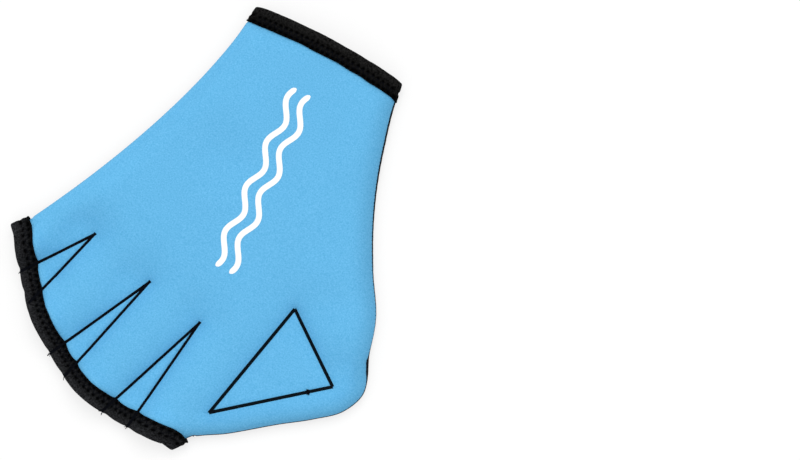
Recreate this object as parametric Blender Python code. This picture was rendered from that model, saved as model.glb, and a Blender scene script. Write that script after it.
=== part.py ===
"""A webbed swim glove that lies flat with its front panel up.

Two neoprene panels of one outline meet along both sides. Stitching joins them along three finger
darts and round a thumb web, and they stay open at the wrist and at four finger mouths. A tape
binds the wrist mouth all round, and another binds the finger edge of each panel.

All sizes are in millimetres. X runs towards the thumb, Y towards the wrist and Z up.
"""

import math

import bmesh
import bpy
import numpy as np
from mathutils import Vector
from mathutils.geometry import delaunay_2d_cdt

MM = 0.001

# Outline of a panel, from the middle of its wrist edge
WRIST_WIDTH = 72.0
WRIST_BOW = 2.0
GLOVE_LENGTH = 193.5
PINKY_REACH = 85.0
PINKY_DROP = 139.0
PINKY_CURVE = 1.55
THUMB_REACH = 86.2
THUMB_DROP = 133.0
FINGER_END = 21.0

# Walls
PANEL_THICKNESS = 2.2
BOUND_THICKNESS = 1.6
STITCHED_THICKNESS = 1.4
TAPE_THICKNESS = 0.8
TAPE_LEG = 7.3
PIECE_GAP = 0.3
ROLL_RADIUS = 2.5

# Room inside
PALM_GAP = 8.2
WRIST_GAP = 6.0
FINGER_GAP = 6.3
PALM_REACH = 5.0
FLOOR_REACH = 4.0
STITCH_EASE = 6.0

# Facets
CURVE_STEP = 0.5
PANEL_STEP = 6.0
EDGE_STEP = 4.6
ROLL_TURNS = (90.0, 60.0, 30.0, 0.0)
LEAN_REACH = 22.0

# Thumb side above the thumb's tip: down as a share of THUMB_DROP, out as a share of the flare
THUMB_SIDE = (
    (0.00, 0.000),
    (0.12, 0.052),
    (0.26, 0.145),
    (0.46, 0.345),
    (0.61, 0.552),
    (0.75, 0.782),
    (0.86, 0.878),
    (1.00, 1.000),
)

# Thumb side below the thumb's tip: across from FINGER_END to THUMB_REACH, down to GLOVE_LENGTH
THUMB_HEM = (
    (0.944, 0.142),
    (0.786, 0.300),
    (0.588, 0.458),
    (0.313, 0.692),
    (0.069, 0.876),
    (0.000, 0.970),
)

# Finger edge: across from PINKY_REACH to FINGER_END, down from PINKY_DROP to GLOVE_LENGTH
FINGER_EDGE = (
    (0.000, 0.000),
    (0.071, 0.212),
    (0.180, 0.472),
    (0.322, 0.698),
    (0.489, 0.892),
    (0.742, 0.998),
    (1.000, 0.970),
)

# Finger darts: apex across and down as in FINGER_EDGE, then both feet as shares of its length
DARTS = (
    (0.296, -0.262, 0.137, 0.223),
    (0.598, -0.125, 0.447, 0.536),
    (0.868, -0.020, 0.750, 0.836),
)

# Corners of the thumb web, across and down as in THUMB_HEM
THUMB_WEB = (
    (0.324, -0.347),
    (0.808, 0.033),
    (0.137, 0.636),
)

# Surface colours
PANEL_BLUE = (0.135, 0.491, 0.823, 1.0)
REAR_CHARCOAL = (0.022, 0.024, 0.028, 1.0)
TAPE_BLACK = (0.010, 0.010, 0.012, 1.0)

# Heights that follow from the walls
HALF_PANEL = PANEL_THICKNESS / 2
HALF_BOUND = BOUND_THICKNESS / 2
HALF_STITCHED = STITCHED_THICKNESS / 2
TAPE_REACH = PIECE_GAP + TAPE_THICKNESS
HALF_TAPED = HALF_BOUND + TAPE_REACH
FLOOR_HEIGHT = HALF_PANEL
REAR_HEIGHT = HALF_TAPED
SEAM_HEIGHT = REAR_HEIGHT + ROLL_RADIUS + PIECE_GAP / 2
SIDE_HEIGHT = SEAM_HEIGHT + PIECE_GAP / 2 + ROLL_RADIUS
STITCH_HEIGHT = REAR_HEIGHT + STITCHED_THICKNESS + PIECE_GAP
FOOT_HEIGHT = REAR_HEIGHT + 2 * HALF_TAPED + PIECE_GAP
WEB_HEIGHT = REAR_HEIGHT + PANEL_THICKNESS + PIECE_GAP
PALM_HEIGHT = FLOOR_HEIGHT + PANEL_THICKNESS + PALM_GAP
WRIST_PEAK = REAR_HEIGHT + 2 * HALF_TAPED + WRIST_GAP
FINGER_PEAK = REAR_HEIGHT + 2 * HALF_TAPED + FINGER_GAP
BAND_ROWS = (0.0, TAPE_LEG / 2, TAPE_LEG, TAPE_LEG + TAPE_REACH)


class Curve:
    """A smooth plan curve through a few points, measured along its length."""

    def __init__(self, points):
        points = np.array(points, float)
        chords = np.linalg.norm(np.diff(points, axis=0), axis=1)
        at = np.concatenate([[0.0], np.cumsum(chords)])
        slopes = np.gradient(points, at, axis=0)
        distance = np.linspace(0.0, at[-1], round(at[-1] / CURVE_STEP) + 1)
        i = np.clip(np.searchsorted(at, distance, side="right") - 1, 0, len(chords) - 1)
        span = chords[i][:, None]
        u = (distance[:, None] - at[i][:, None]) / span
        self.points = (
            (2 * u**3 - 3 * u**2 + 1) * points[i]
            + (u**3 - 2 * u**2 + u) * span * slopes[i]
            + (3 * u**2 - 2 * u**3) * points[i + 1]
            + (u**3 - u**2) * span * slopes[i + 1]
        )
        steps = np.linalg.norm(np.diff(self.points, axis=0), axis=1)
        self.at = np.concatenate([[0.0], np.cumsum(steps)])
        self.length = self.at[-1]

    def place(self, distance):
        x = np.interp(distance, self.at, self.points[:, 0])
        y = np.interp(distance, self.at, self.points[:, 1])
        return np.stack([x, y], axis=-1)

    def along(self, distance):
        ahead = self.place(np.minimum(distance + CURVE_STEP, self.length))
        behind = self.place(np.maximum(distance - CURVE_STEP, 0.0))
        return unit(ahead - behind)


def unit(vectors):
    return vectors / np.linalg.norm(vectors, axis=-1, keepdims=True)


def left_of(directions):
    """The directions a quarter turn to the left, in plan."""
    return np.stack([-directions[..., 1], directions[..., 0]], axis=-1)


def finger_place(across, down):
    x = -PINKY_REACH + across * (PINKY_REACH + FINGER_END)
    return x, -PINKY_DROP - down * (GLOVE_LENGTH - PINKY_DROP)


def thumb_place(across, down):
    x = FINGER_END + across * (THUMB_REACH - FINGER_END)
    return x, -THUMB_DROP - down * (GLOVE_LENGTH - THUMB_DROP)


def pinky_side():
    flare = PINKY_REACH - WRIST_WIDTH / 2
    shares = np.linspace(0.0, 1.0, 10)
    return Curve([(-WRIST_WIDTH / 2 - flare * s**PINKY_CURVE, -PINKY_DROP * s) for s in shares])


def thumb_side():
    flare = THUMB_REACH - WRIST_WIDTH / 2
    upper = [(WRIST_WIDTH / 2 + flare * out, -THUMB_DROP * down) for down, out in THUMB_SIDE]
    return Curve(upper + [thumb_place(*row) for row in THUMB_HEM])


def finger_edge():
    return Curve([finger_place(*row) for row in FINGER_EDGE])


def wrist_edge():
    shares = np.linspace(-1.0, 1.0, 9)
    return Curve([(WRIST_WIDTH / 2 * s, WRIST_BOW * (1 - s * s)) for s in shares])


def roll_insets():
    """How far inside the side edge each row of the roll lies."""
    return [ROLL_RADIUS * (1 - math.sin(math.radians(turn))) for turn in ROLL_TURNS]


def side_start(side, at_end):
    """The straight run of a side through the band at one of its ends, as a unit vector."""
    reach = BAND_ROWS[-1]
    if at_end:
        return unit(side.place(side.length - reach) - side.place(side.length))
    return unit(side.place(reach) - side.place(0.0))


def even_steps(start, end, step):
    return list(np.linspace(start, end, max(1, math.ceil((end - start) / step)) + 1)[:-1])


class Band:
    """The bound strip along an edge: its stations, each with its inward run and its roll."""

    def __init__(self, edge, inward, first_run, last_run, marks):
        self.edge = edge
        first_along = edge.along(0.0)
        last_along = -edge.along(edge.length)
        first_lean, first_sine = self.lean(first_along, inward * left_of(first_along), first_run)
        last_lean, last_sine = self.lean(last_along, -inward * left_of(last_along), last_run)
        first_roll = [inset / first_sine for inset in roll_insets()]
        last_roll = [edge.length - inset / last_sine for inset in roll_insets()][::-1]
        stops = [first_roll[-1], *marks, last_roll[0]]
        middle = []
        for start, end in zip(stops, stops[1:]):
            middle += even_steps(start, end, EDGE_STEP)
        self.at = np.array(first_roll[:-1] + middle + last_roll)
        self.points = edge.place(self.at)
        along = edge.along(self.at)
        normal = inward * left_of(along)
        near_first = np.clip(1 - (self.at - first_roll[-1]) / LEAN_REACH, 0.0, 1.0)
        near_last = np.clip(1 - (last_roll[0] - self.at) / LEAN_REACH, 0.0, 1.0)
        lean = near_first * first_lean - near_last * last_lean
        self.runs = normal + lean[:, None] * along
        rolls = len(ROLL_TURNS)
        self.runs[:rolls] = first_run / np.dot(first_run, inward * left_of(first_along))
        self.runs[-rolls:] = last_run / np.dot(last_run, -inward * left_of(last_along))
        self.along = along
        self.turn = np.zeros(len(self.at))
        self.turn[:rolls] = np.radians(ROLL_TURNS)
        self.turn[-rolls:] = np.radians(ROLL_TURNS)[::-1]
        self.outward = np.zeros_like(self.points)
        self.outward[:rolls] = self.side_normal(first_run, -first_along)
        self.outward[-rolls:] = self.side_normal(last_run, -last_along)
        self.rolled = (first_roll[-1], last_roll[0])

    @staticmethod
    def lean(along, normal, run):
        return np.dot(run, along) / np.dot(run, normal), np.dot(run, normal)

    @staticmethod
    def side_normal(run, away):
        normal = left_of(run)
        return normal if np.dot(normal, away) > 0 else -normal

    def row(self, depth):
        return self.points + self.runs * depth

    def nearest(self, distance):
        return int(np.argmin(np.abs(self.at - distance)))


def swell(distance, start, end, low, high, peak):
    """The height of an open mouth's edge: low at its start, high at its end and a peak between."""
    share = (distance - start) / (end - start)
    base = low + (high - low) * share
    return base + (peak - base) * np.clip(1 - (2 * share - 1) ** 2, 0.0, 1.0) ** 1.5


def finger_heights(band):
    """The front panel's height at each station of the finger edge."""
    feet = [share * band.edge.length for dart in DARTS for share in dart[2:]]
    heights = np.full(len(band.at), SIDE_HEIGHT)
    stops = [(band.rolled[0], SIDE_HEIGHT)]
    stops += [(foot, FOOT_HEIGHT) for foot in feet]
    stops += [(band.rolled[1], SIDE_HEIGHT)]
    for number, ((start, low), (end, high)) in enumerate(zip(stops, stops[1:])):
        inside = (band.at >= start) & (band.at <= end)
        is_mouth = number % 2 == 0
        peak = FINGER_PEAK if is_mouth else FOOT_HEIGHT
        heights[inside] = swell(band.at[inside], start, end, low, high, peak)
    return heights


def wrist_heights(band):
    heights = np.full(len(band.at), SIDE_HEIGHT)
    start, end = band.rolled
    inside = (band.at >= start) & (band.at <= end)
    peak = WRIST_PEAK
    heights[inside] = swell(band.at[inside], start, end, SIDE_HEIGHT, SIDE_HEIGHT, peak)
    return heights


def band_normals(band, heights):
    """Upward normals of a surface that has these heights along the band and is level across it."""
    slope = np.gradient(heights, band.at)
    slope[band.turn > 0] = 0.0
    across = left_of(band.runs)
    gradient = across * (slope / np.sum(across * band.along, axis=1))[:, None]
    normals = unit(np.column_stack([-gradient, np.ones(len(slope))]))
    rolled = np.arange(len(slope))[np.linalg.norm(band.outward, axis=1) > 0]
    for i in rolled:
        flat = band.outward[i] * math.sin(band.turn[i])
        normals[i] = (*flat, math.cos(band.turn[i]))
    return normals


class Plan:
    """The plan mesh that both panels share, with what is known of each of its points."""

    def __init__(self):
        self.points = []
        self.edges = []
        self.front = []
        self.rear = []
        self.half = []
        self.turn = []
        self.outward = []
        self.normal = []

    def add(self, point, front=None, rear=None, half=HALF_PANEL, turn=0.0, outward=(0, 0), normal=None):
        index = len(self.points)
        self.points.append((float(point[0]), float(point[1])))
        self.front.append(math.nan if front is None else front)
        self.rear.append(math.nan if rear is None else rear)
        self.half.append(half)
        self.turn.append(turn)
        self.outward.append(tuple(outward))
        self.normal.append((math.nan,) * 3 if normal is None else tuple(normal))
        return index

    def join(self, indices):
        self.edges += list(zip(indices, indices[1:]))

    def add_band(self, band, heights):
        normals = band_normals(band, heights)
        grid = []
        for depth in BAND_ROWS:
            inner = depth == BAND_ROWS[-1]
            half = HALF_PANEL if inner else HALF_BOUND
            row = []
            for i, point in enumerate(band.row(depth)):
                free = inner and not band.turn[i]
                normal = None if free else normals[i]
                row.append(
                    self.add(point, heights[i], REAR_HEIGHT, half, band.turn[i], band.outward[i], normal)
                )
            grid.append(row)
            self.join(row)
        for column in zip(*grid):
            self.join(column)
        return grid

    def add_side(self, side, inward, start_column, end_column):
        """The rolled rows of a side, between the columns that two bands end in."""
        corners = np.array(self.points)[[start_column[0], end_column[0]]]
        first = np.linalg.norm(corners[0] - side.place(0.0))
        last = side.length - np.linalg.norm(corners[1] - side.place(side.length))
        at = np.array(even_steps(first, last, EDGE_STEP)[1:])
        normal = inward * left_of(side.along(at))
        rows = []
        for inset, turn, start, end in zip(roll_insets(), ROLL_TURNS, start_column, end_column):
            row = [start]
            for point, away in zip(side.place(at) + normal * inset, -normal):
                angle = math.radians(turn)
                up = (*(away * math.sin(angle)), math.cos(angle))
                is_top = turn == 0.0
                row.append(
                    self.add(
                        point, SIDE_HEIGHT, REAR_HEIGHT, HALF_PANEL, angle, away, None if is_top else up
                    )
                )
            row.append(end)
            rows.append(row)
            self.join(row)
        for column in zip(*rows):
            self.join(column)
        return rows

    def add_seam(self, start, end, first, last, eased_end):
        """A stitched line from point to point; first and last are known points or None."""
        start, end = np.array(start), np.array(end)
        length = np.linalg.norm(end - start)
        count = max(2, round(length / (PANEL_STEP * 0.8)))
        line = [self.add_stitched(start) if first is None else first]
        for share in np.linspace(0.0, 1.0, count + 1)[1:-1]:
            eased = eased_end and (1 - share) * length < STITCH_EASE
            line.append(self.add_stitched(start + (end - start) * share, eased))
        line.append(self.add_stitched(end) if last is None else last)
        self.join(line)
        return line

    def add_stitched(self, point, eased=False):
        front = None if eased else STITCH_HEIGHT
        return self.add(point, front, REAR_HEIGHT, HALF_STITCHED)

    def arrays(self):
        names = ("points", "front", "rear", "half", "turn", "outward", "normal")
        return {name: np.array(getattr(self, name), float) for name in names}


def inside(points, loop):
    """Which points lie inside a closed loop."""
    found = np.zeros(len(points), bool)
    for (ax, ay), (bx, by) in zip(loop, np.roll(loop, -1, axis=0)):
        crosses = (ay > points[:, 1]) != (by > points[:, 1])
        with np.errstate(divide="ignore", invalid="ignore"):
            x = ax + (points[:, 1] - ay) * (bx - ax) / (by - ay)
        found ^= crosses & (points[:, 0] < x)
    return found


def distance_to_segments(points, starts, ends):
    nearest = np.full(len(points), np.inf)
    for a, b in zip(starts, ends):
        run = b - a
        share = np.clip((points - a) @ run / (run @ run), 0.0, 1.0)
        nearest = np.minimum(nearest, np.linalg.norm(points - a - share[:, None] * run, axis=1))
    return nearest


def lattice(low, high, step):
    """Points of a lattice of even triangles."""
    rows = np.arange(low[1], high[1], step * math.sqrt(0.75))
    return np.array(
        [(x + step / 2 * (i % 2), y) for i, y in enumerate(rows) for x in np.arange(low[0], high[0], step)]
    )


def relaxed(points, faces, target, pinned, reach):
    """Heights that follow the target within a bending reach, and keep the pinned ones."""
    count = len(points)
    stiffness = np.zeros((count, count))
    mass = np.zeros(count)
    for turn in range(3):
        i, j, k = (faces[:, (turn + n) % 3] for n in range(3))
        a, b = points[i] - points[k], points[j] - points[k]
        area = a[:, 0] * b[:, 1] - a[:, 1] * b[:, 0]
        weight = 0.5 * np.sum(a * b, axis=1) / area
        np.add.at(stiffness, (i, j), -weight)
        np.add.at(stiffness, (j, i), -weight)
        np.add.at(stiffness, (i, i), weight)
        np.add.at(stiffness, (j, j), weight)
        np.add.at(mass, k, area / 6)
    system = reach**2 * stiffness + np.diag(mass)
    free = np.isnan(pinned)
    heights = np.where(free, target, pinned)
    right = mass[free] * target[free] - system[np.ix_(free, ~free)] @ pinned[~free]
    heights[free] = np.linalg.solve(system[np.ix_(free, free)], right)
    return heights


def vertex_normals(points, faces):
    corners = points[faces]
    crosses = np.cross(corners[:, 1] - corners[:, 0], corners[:, 2] - corners[:, 0])
    normals = np.zeros_like(points)
    for turn in range(3):
        np.add.at(normals, faces[:, turn], crosses)
    return unit(normals)


class Glove:
    """The plan mesh, the bands along its edges and the heights of both panels."""

    def __init__(self):
        left, right, lower, upper = pinky_side(), thumb_side(), finger_edge(), wrist_edge()
        feet = [share * lower.length for dart in DARTS for share in dart[2:]]
        self.wrist = Band(upper, -1, side_start(left, False), side_start(right, False), [])
        self.finger = Band(lower, 1, side_start(left, True), side_start(right, True), feet)
        self.wrist_front = wrist_heights(self.wrist)
        self.finger_front = finger_heights(self.finger)
        plan = Plan()
        wrist = plan.add_band(self.wrist, self.wrist_front)
        finger = plan.add_band(self.finger, self.finger_front)
        rolls = len(ROLL_TURNS)
        starts = [wrist[-1][i] for i in range(rolls)]
        ends = [finger[-1][i] for i in range(rolls)]
        left_rows = plan.add_side(left, 1, starts, ends)
        starts = [wrist[-1][-1 - i] for i in range(rolls)]
        ends = [finger[-1][-1 - i] for i in range(rolls)]
        right_rows = plan.add_side(right, -1, starts, ends)
        self.add_darts(plan, finger[-1])
        self.add_thumb_web(plan)
        rim = wrist[-1][rolls - 1 : 1 - rolls] + right_rows[-1][1:-1]
        rim += finger[-1][rolls - 1 : 1 - rolls][::-1] + left_rows[-1][1:-1][::-1]
        self.add_lattice(plan, rim)
        self.mesh_plan(plan)
        self.set_heights()

    def add_darts(self, plan, inner_row):
        self.webs = []
        for across, down, *feet in DARTS:
            apex = finger_place(across, down)
            tip = None
            corners = [apex]
            for share in feet:
                foot = inner_row[self.finger.nearest(share * self.finger.edge.length)]
                corners.append(plan.points[foot])
                tip = plan.add_seam(apex, plan.points[foot], tip, foot, True)[0]
            self.webs.append(np.array(corners))

    def add_thumb_web(self, plan):
        corners = [thumb_place(*row) for row in THUMB_WEB]
        known = [plan.add_stitched(corner) for corner in corners]
        for i in range(3):
            j = (i + 1) % 3
            plan.add_seam(corners[i], corners[j], known[i], known[j], False)
        self.webs.append(np.array(corners))

    def add_lattice(self, plan, rim):
        fixed = np.array(plan.points)
        loop = fixed[rim]
        points = lattice(fixed.min(axis=0), fixed.max(axis=0), PANEL_STEP)
        points = points[inside(points, loop)]
        pairs = np.array(plan.edges)
        clear = distance_to_segments(points, fixed[pairs[:, 0]], fixed[pairs[:, 1]]) > 0.5 * PANEL_STEP
        for point in points[clear]:
            plan.add(point)

    def mesh_plan(self, plan):
        given = [Vector(point) for point in plan.points]
        points, _, faces, origins, *_ = delaunay_2d_cdt(given, plan.edges, [], 1, 1e-5)
        known = plan.arrays()
        order = [origin[0] for origin in origins]
        for name, values in known.items():
            setattr(self, name, values[order])
        faces = np.array([face for face in faces], int)
        a, b, c = (self.points[faces[:, n]] for n in range(3))
        turned = (b - a)[:, 0] * (c - a)[:, 1] - (b - a)[:, 1] * (c - a)[:, 0] < 0
        faces[turned] = faces[turned][:, ::-1]
        self.faces = faces

    def set_heights(self):
        web = np.zeros(len(self.points), bool)
        for corners in self.webs:
            web |= inside(self.points, corners)
        front_target = np.where(web, WEB_HEIGHT, PALM_HEIGHT)
        rear_target = np.full(len(self.points), FLOOR_HEIGHT - PIECE_GAP / 3)
        rear = relaxed(self.points, self.faces, rear_target, self.rear, FLOOR_REACH)
        self.rear_heights = np.maximum(rear, FLOOR_HEIGHT)
        front = relaxed(self.points, self.faces, front_target, self.front, PALM_REACH)
        least = self.rear_heights + 2 * self.half + PIECE_GAP
        self.front_heights = np.where(np.isnan(self.front), np.maximum(front, least), front)

    def surface(self, is_front):
        """The middle surface of a panel and its upward normals."""
        rise = -1.0 if is_front else 1.0
        base = self.front_heights if is_front else self.rear_heights
        level = base + rise * ROLL_RADIUS * (1 - np.cos(self.turn))
        surface = np.column_stack([self.points, level])
        normals = vertex_normals(surface, self.faces)
        known = ~np.isnan(self.normal[:, 0])
        given = self.normal[known].copy()
        if not is_front:
            given[:, :2] = -self.outward[known] * np.sin(self.turn[known])[:, None]
            given[:, 2] = np.cos(self.turn[known])
        normals[known] = unit(given)
        return surface, normals


def boundary_edges(faces):
    ends = np.concatenate([faces[:, [0, 1]], faces[:, [1, 2]], faces[:, [2, 0]]])
    pairs = {tuple(pair) for pair in ends}
    return [(a, b) for a, b in pairs if (b, a) not in pairs]


def panel_mesh(glove, is_front):
    """A panel as a closed wall round its middle surface."""
    surface, normals = glove.surface(is_front)
    lift = normals * glove.half[:, None]
    points = np.concatenate([surface + lift, surface - lift])
    count = len(surface)
    faces = [tuple(face) for face in glove.faces]
    faces += [tuple(face[::-1] + count) for face in glove.faces]
    faces += [(a + count, b + count, b, a) for a, b in boundary_edges(glove.faces)]
    return points, faces


def tape_profile():
    """Half of a folded tape's section round a bound edge: depth inside the edge, and height."""
    fold = 0.6 * TAPE_THICKNESS
    slot = HALF_BOUND + PIECE_GAP
    outer = [(TAPE_LEG, HALF_TAPED), (fold - TAPE_REACH, HALF_TAPED), (-TAPE_REACH, HALF_TAPED - fold)]
    inner = [(-PIECE_GAP, slot), (TAPE_LEG, slot)]
    return outer + [(d, -h) for d, h in outer[::-1]] + [(d, -h) for d, h in inner[::-1]] + inner


def tape_sections(band, heights, is_front):
    """The tape's section at each station of a band."""
    rise = -1.0 if is_front else 1.0
    level = heights + rise * ROLL_RADIUS * (1 - np.cos(band.turn))
    normals = band_normals(band, heights)
    if not is_front:
        normals[:, :2] *= -1
    sections = []
    for point, run, height, normal in zip(band.points, band.runs, level, normals):
        middle = np.array((*point, height))
        inward = np.array((*run, 0.0))
        sections.append([middle + inward * depth + normal * side for depth, side in tape_profile()])
    return np.array(sections)


def tape_mesh(sections, is_ring):
    count, size = sections.shape[:2]
    points = sections.reshape(-1, 3)
    faces = []
    for i in range(count if is_ring else count - 1):
        j = (i + 1) % count
        for a in range(size):
            b = (a + 1) % size
            faces.append((i * size + a, i * size + b, j * size + b, j * size + a))
    if not is_ring:
        faces.append(tuple(range(size))[::-1])
        faces.append(tuple((count - 1) * size + a for a in range(size)))
    return points, faces


def wrist_tape(glove):
    """One ring round the wrist mouth: over the front panel, then back under the rear one."""
    front = tape_sections(glove.wrist, glove.wrist_front, True)
    flat = np.full(len(glove.wrist.at), REAR_HEIGHT)
    rear = tape_sections(glove.wrist, flat, False)
    front[0] = (front[0] + flipped(rear[0])) / 2
    front[-1] = (front[-1] + flipped(rear[-1])) / 2
    under = np.array([flipped(section) for section in rear[1:-1][::-1]])
    return tape_mesh(np.concatenate([front, under]), True)


def flipped(section):
    """The same section with its two legs swapped, as it is once the tape has turned under."""
    profile = tape_profile()
    return section[[profile.index((depth, -height)) for depth, height in profile]]


def finger_tape(glove, is_front):
    heights = glove.finger_front if is_front else np.full(len(glove.finger.at), REAR_HEIGHT)
    return tape_mesh(tape_sections(glove.finger, heights, is_front), False)


def make_material(name, colour, roughness):
    material = bpy.data.materials.new(name)
    material.use_nodes = True
    shader = material.node_tree.nodes["Principled BSDF"]
    shader.inputs["Base Color"].default_value = colour
    shader.inputs["Roughness"].default_value = roughness
    shader.inputs["Metallic"].default_value = 0.0
    return material


def make_object(name, points, faces, material, shift):
    mesh = bpy.data.meshes.new(name)
    mesh.from_pydata([tuple((point - shift) * MM) for point in points], [], faces)
    shape = bmesh.new()
    shape.from_mesh(mesh)
    bmesh.ops.recalc_face_normals(shape, faces=shape.faces)
    shape.to_mesh(mesh)
    shape.free()
    mesh.materials.append(material)
    piece = bpy.data.objects.new(name, mesh)
    bpy.context.scene.collection.objects.link(piece)
    return piece


def build():
    for old in list(bpy.data.objects):
        bpy.data.objects.remove(old)
    glove = Glove()
    blue = make_material("blue_neoprene", PANEL_BLUE, 0.75)
    charcoal = make_material("charcoal_neoprene", REAR_CHARCOAL, 0.8)
    black = make_material("black_tape", TAPE_BLACK, 0.85)
    pieces = (
        ("front_panel", panel_mesh(glove, True), blue),
        ("rear_panel", panel_mesh(glove, False), charcoal),
        ("cuff_binding", wrist_tape(glove), black),
        ("finger_binding_front", finger_tape(glove, True), black),
        ("finger_binding_rear", finger_tape(glove, False), black),
    )
    every = np.concatenate([points for _, (points, _), _ in pieces])
    low, high = every.min(axis=0), every.max(axis=0)
    shift = np.array([(low[0] + high[0]) / 2, (low[1] + high[1]) / 2, low[2]])
    for name, (points, faces), material in pieces:
        make_object(name, points, faces, material, shift)


build()
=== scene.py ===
"""A webbed swim glove of blue and charcoal neoprene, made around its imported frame.

Two jersey faced panels of one outline are sewn together along both sides, along three finger darts
and round a thumb web. A folded tape binds the wrist mouth, and another binds each panel's finger
edge. The glove lies flat on a pale floor and is seen from straight above.

Shapes are worked out in millimetres from the middle of the wrist edge, with X towards the thumb,
Y towards the wrist and Z up, and become metres where a mesh is made.
"""

import math

import bmesh
import bpy
import numpy as np
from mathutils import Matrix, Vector, noise
from mathutils.bvhtree import BVHTree
from mathutils.geometry import delaunay_2d_cdt


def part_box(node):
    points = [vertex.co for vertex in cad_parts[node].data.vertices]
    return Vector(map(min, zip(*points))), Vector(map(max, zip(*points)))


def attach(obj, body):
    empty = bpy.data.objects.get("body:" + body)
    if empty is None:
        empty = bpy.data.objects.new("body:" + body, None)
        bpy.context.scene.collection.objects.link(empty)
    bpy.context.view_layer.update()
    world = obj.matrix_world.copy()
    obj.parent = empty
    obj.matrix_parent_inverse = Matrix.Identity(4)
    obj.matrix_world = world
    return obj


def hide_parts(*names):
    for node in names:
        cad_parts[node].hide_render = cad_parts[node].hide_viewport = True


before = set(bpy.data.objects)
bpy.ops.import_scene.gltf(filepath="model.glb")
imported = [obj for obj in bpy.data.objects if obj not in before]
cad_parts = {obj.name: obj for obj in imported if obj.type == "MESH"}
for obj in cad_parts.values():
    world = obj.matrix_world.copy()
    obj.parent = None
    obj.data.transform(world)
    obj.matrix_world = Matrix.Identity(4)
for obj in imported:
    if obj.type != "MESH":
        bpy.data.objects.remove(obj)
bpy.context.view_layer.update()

MM = 0.001

# Outline of a panel, as the frame has it
WRIST_WIDTH = 72.0
WRIST_BOW = 2.0
GLOVE_LENGTH = 193.5
PINKY_REACH = 85.0
PINKY_DROP = 139.0
PINKY_CURVE = 1.55
THUMB_REACH = 86.2
THUMB_DROP = 133.0
FINGER_END = 21.0
PINKY_POINTS = 10
WRIST_POINTS = 9

# Walls, as the frame has them
PANEL_THICKNESS = 2.2
BOUND_THICKNESS = 1.6
STITCHED_THICKNESS = 1.4
TAPE_THICKNESS = 0.8
TAPE_LEG = 7.3
PIECE_GAP = 0.3
ROLL_RADIUS = 2.5

# Room inside, as the frame has it
PALM_GAP = 8.2
WRIST_GAP = 6.0
FINGER_GAP = 6.3
STITCH_EASE = 6.0

# How the panels settle: how far stretch and bending carry, the gap that is left between the panels
# and how far beside a stitched line they are pinched
FRONT_STRETCH = 2.4
FRONT_BEND = 2.0
REAR_STRETCH = 3.0
REAR_BEND = 2.0
SEAM_GAP = 0.06
PINCH_REACH = 1.3

# When the settling stops: share of the first fault that may be left, and rounds at most
SOLVER_LIMIT = 1e-10
SOLVER_ROUNDS = 2000

# How round an open mouth's edge rises between its ends
MOUTH_POWER = 1.5

# Slow waves of the front panel: wavelength, height, and the step in the noise between them
PANEL_WAVES = (
    (62.0, 0.5),
    (23.0, 0.16),
)
NOISE_SHIFT = 17.3

# How far, and over what reach, the front panel sinks towards its seams and towards its thumb side
SEAM_SINK = 4.4, 13.5
SIDE_SINK = 2.8, 8.0

# Soft hollows of the front panel: x, y, radius, depth
HOLLOWS = (
    (-59.0, -127.0, 10.0, 5.5),
    (-34.0, -136.0, 11.0, 3.8),
    (1.0, -136.0, 9.0, 1.2),
    (77.0, -127.5, 9.0, 4.5),
    (57.0, -100.0, 10.0, 2.2),
    (-17.0, -65.5, 13.0, 2.4),
)

# Steps of the meshes, how far the rows across a band lean beside its ends, the angle in degrees from
# which an edge is sharp, and the sides of a thread
CURVE_STEP = 0.5
PANEL_STEP = 1.45
SEAM_STEP = PANEL_STEP * 0.8
MERGE_DISTANCE = 1e-5
EDGE_STEP = 1.3
TAPE_STEP = 0.43
ROLL_TURNS = (90.0, 75.0, 60.0, 45.0, 30.0, 15.0, 0.0)
LEAN_REACH = 22.0
SHARP_ANGLE = 50.0
TUBE_SIDES = 6

# Thumb side above the thumb's tip: down as a share of THUMB_DROP, out as a share of the flare
THUMB_SIDE = (
    (0.00, 0.000),
    (0.12, 0.052),
    (0.26, 0.145),
    (0.46, 0.345),
    (0.61, 0.552),
    (0.75, 0.782),
    (0.86, 0.878),
    (1.00, 1.000),
)

# Thumb side below the thumb's tip: across from FINGER_END to THUMB_REACH, down to GLOVE_LENGTH
THUMB_HEM = (
    (0.944, 0.142),
    (0.786, 0.300),
    (0.588, 0.458),
    (0.313, 0.692),
    (0.069, 0.876),
    (0.000, 0.970),
)

# Finger edge: across from PINKY_REACH to FINGER_END, down from PINKY_DROP to GLOVE_LENGTH
FINGER_EDGE = (
    (0.000, 0.000),
    (0.071, 0.212),
    (0.180, 0.472),
    (0.322, 0.698),
    (0.489, 0.892),
    (0.742, 0.998),
    (1.000, 0.970),
)

# Finger darts: apex across and down as in FINGER_EDGE, then both feet as shares of its length
DARTS = (
    (0.296, -0.262, 0.137, 0.223),
    (0.598, -0.125, 0.447, 0.536),
    (0.868, -0.020, 0.750, 0.836),
)

# Corners of the thumb web, across and down as in THUMB_HEM
THUMB_WEB = (
    (0.324, -0.347),
    (0.808, 0.033),
    (0.137, 0.636),
)

# How the thumb side lies: share of its length, both panels outwards, the front one inwards of that
THUMB_LIE = (
    (0.00, 0.0, 0.0),
    (0.05, 0.3, 0.8),
    (0.12, 1.0, 0.8),
    (0.35, 0.9, 0.5),
    (0.50, 0.5, 0.1),
    (0.53, 0.3, 0.2),
    (0.55, 0.3, 1.2),
    (0.57, 0.3, 1.1),
    (0.59, 0.1, 0.35),
    (0.96, 0.0, 0.35),
    (1.00, 0.0, 0.0),
)
LIE_REACH = 9.0

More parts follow.
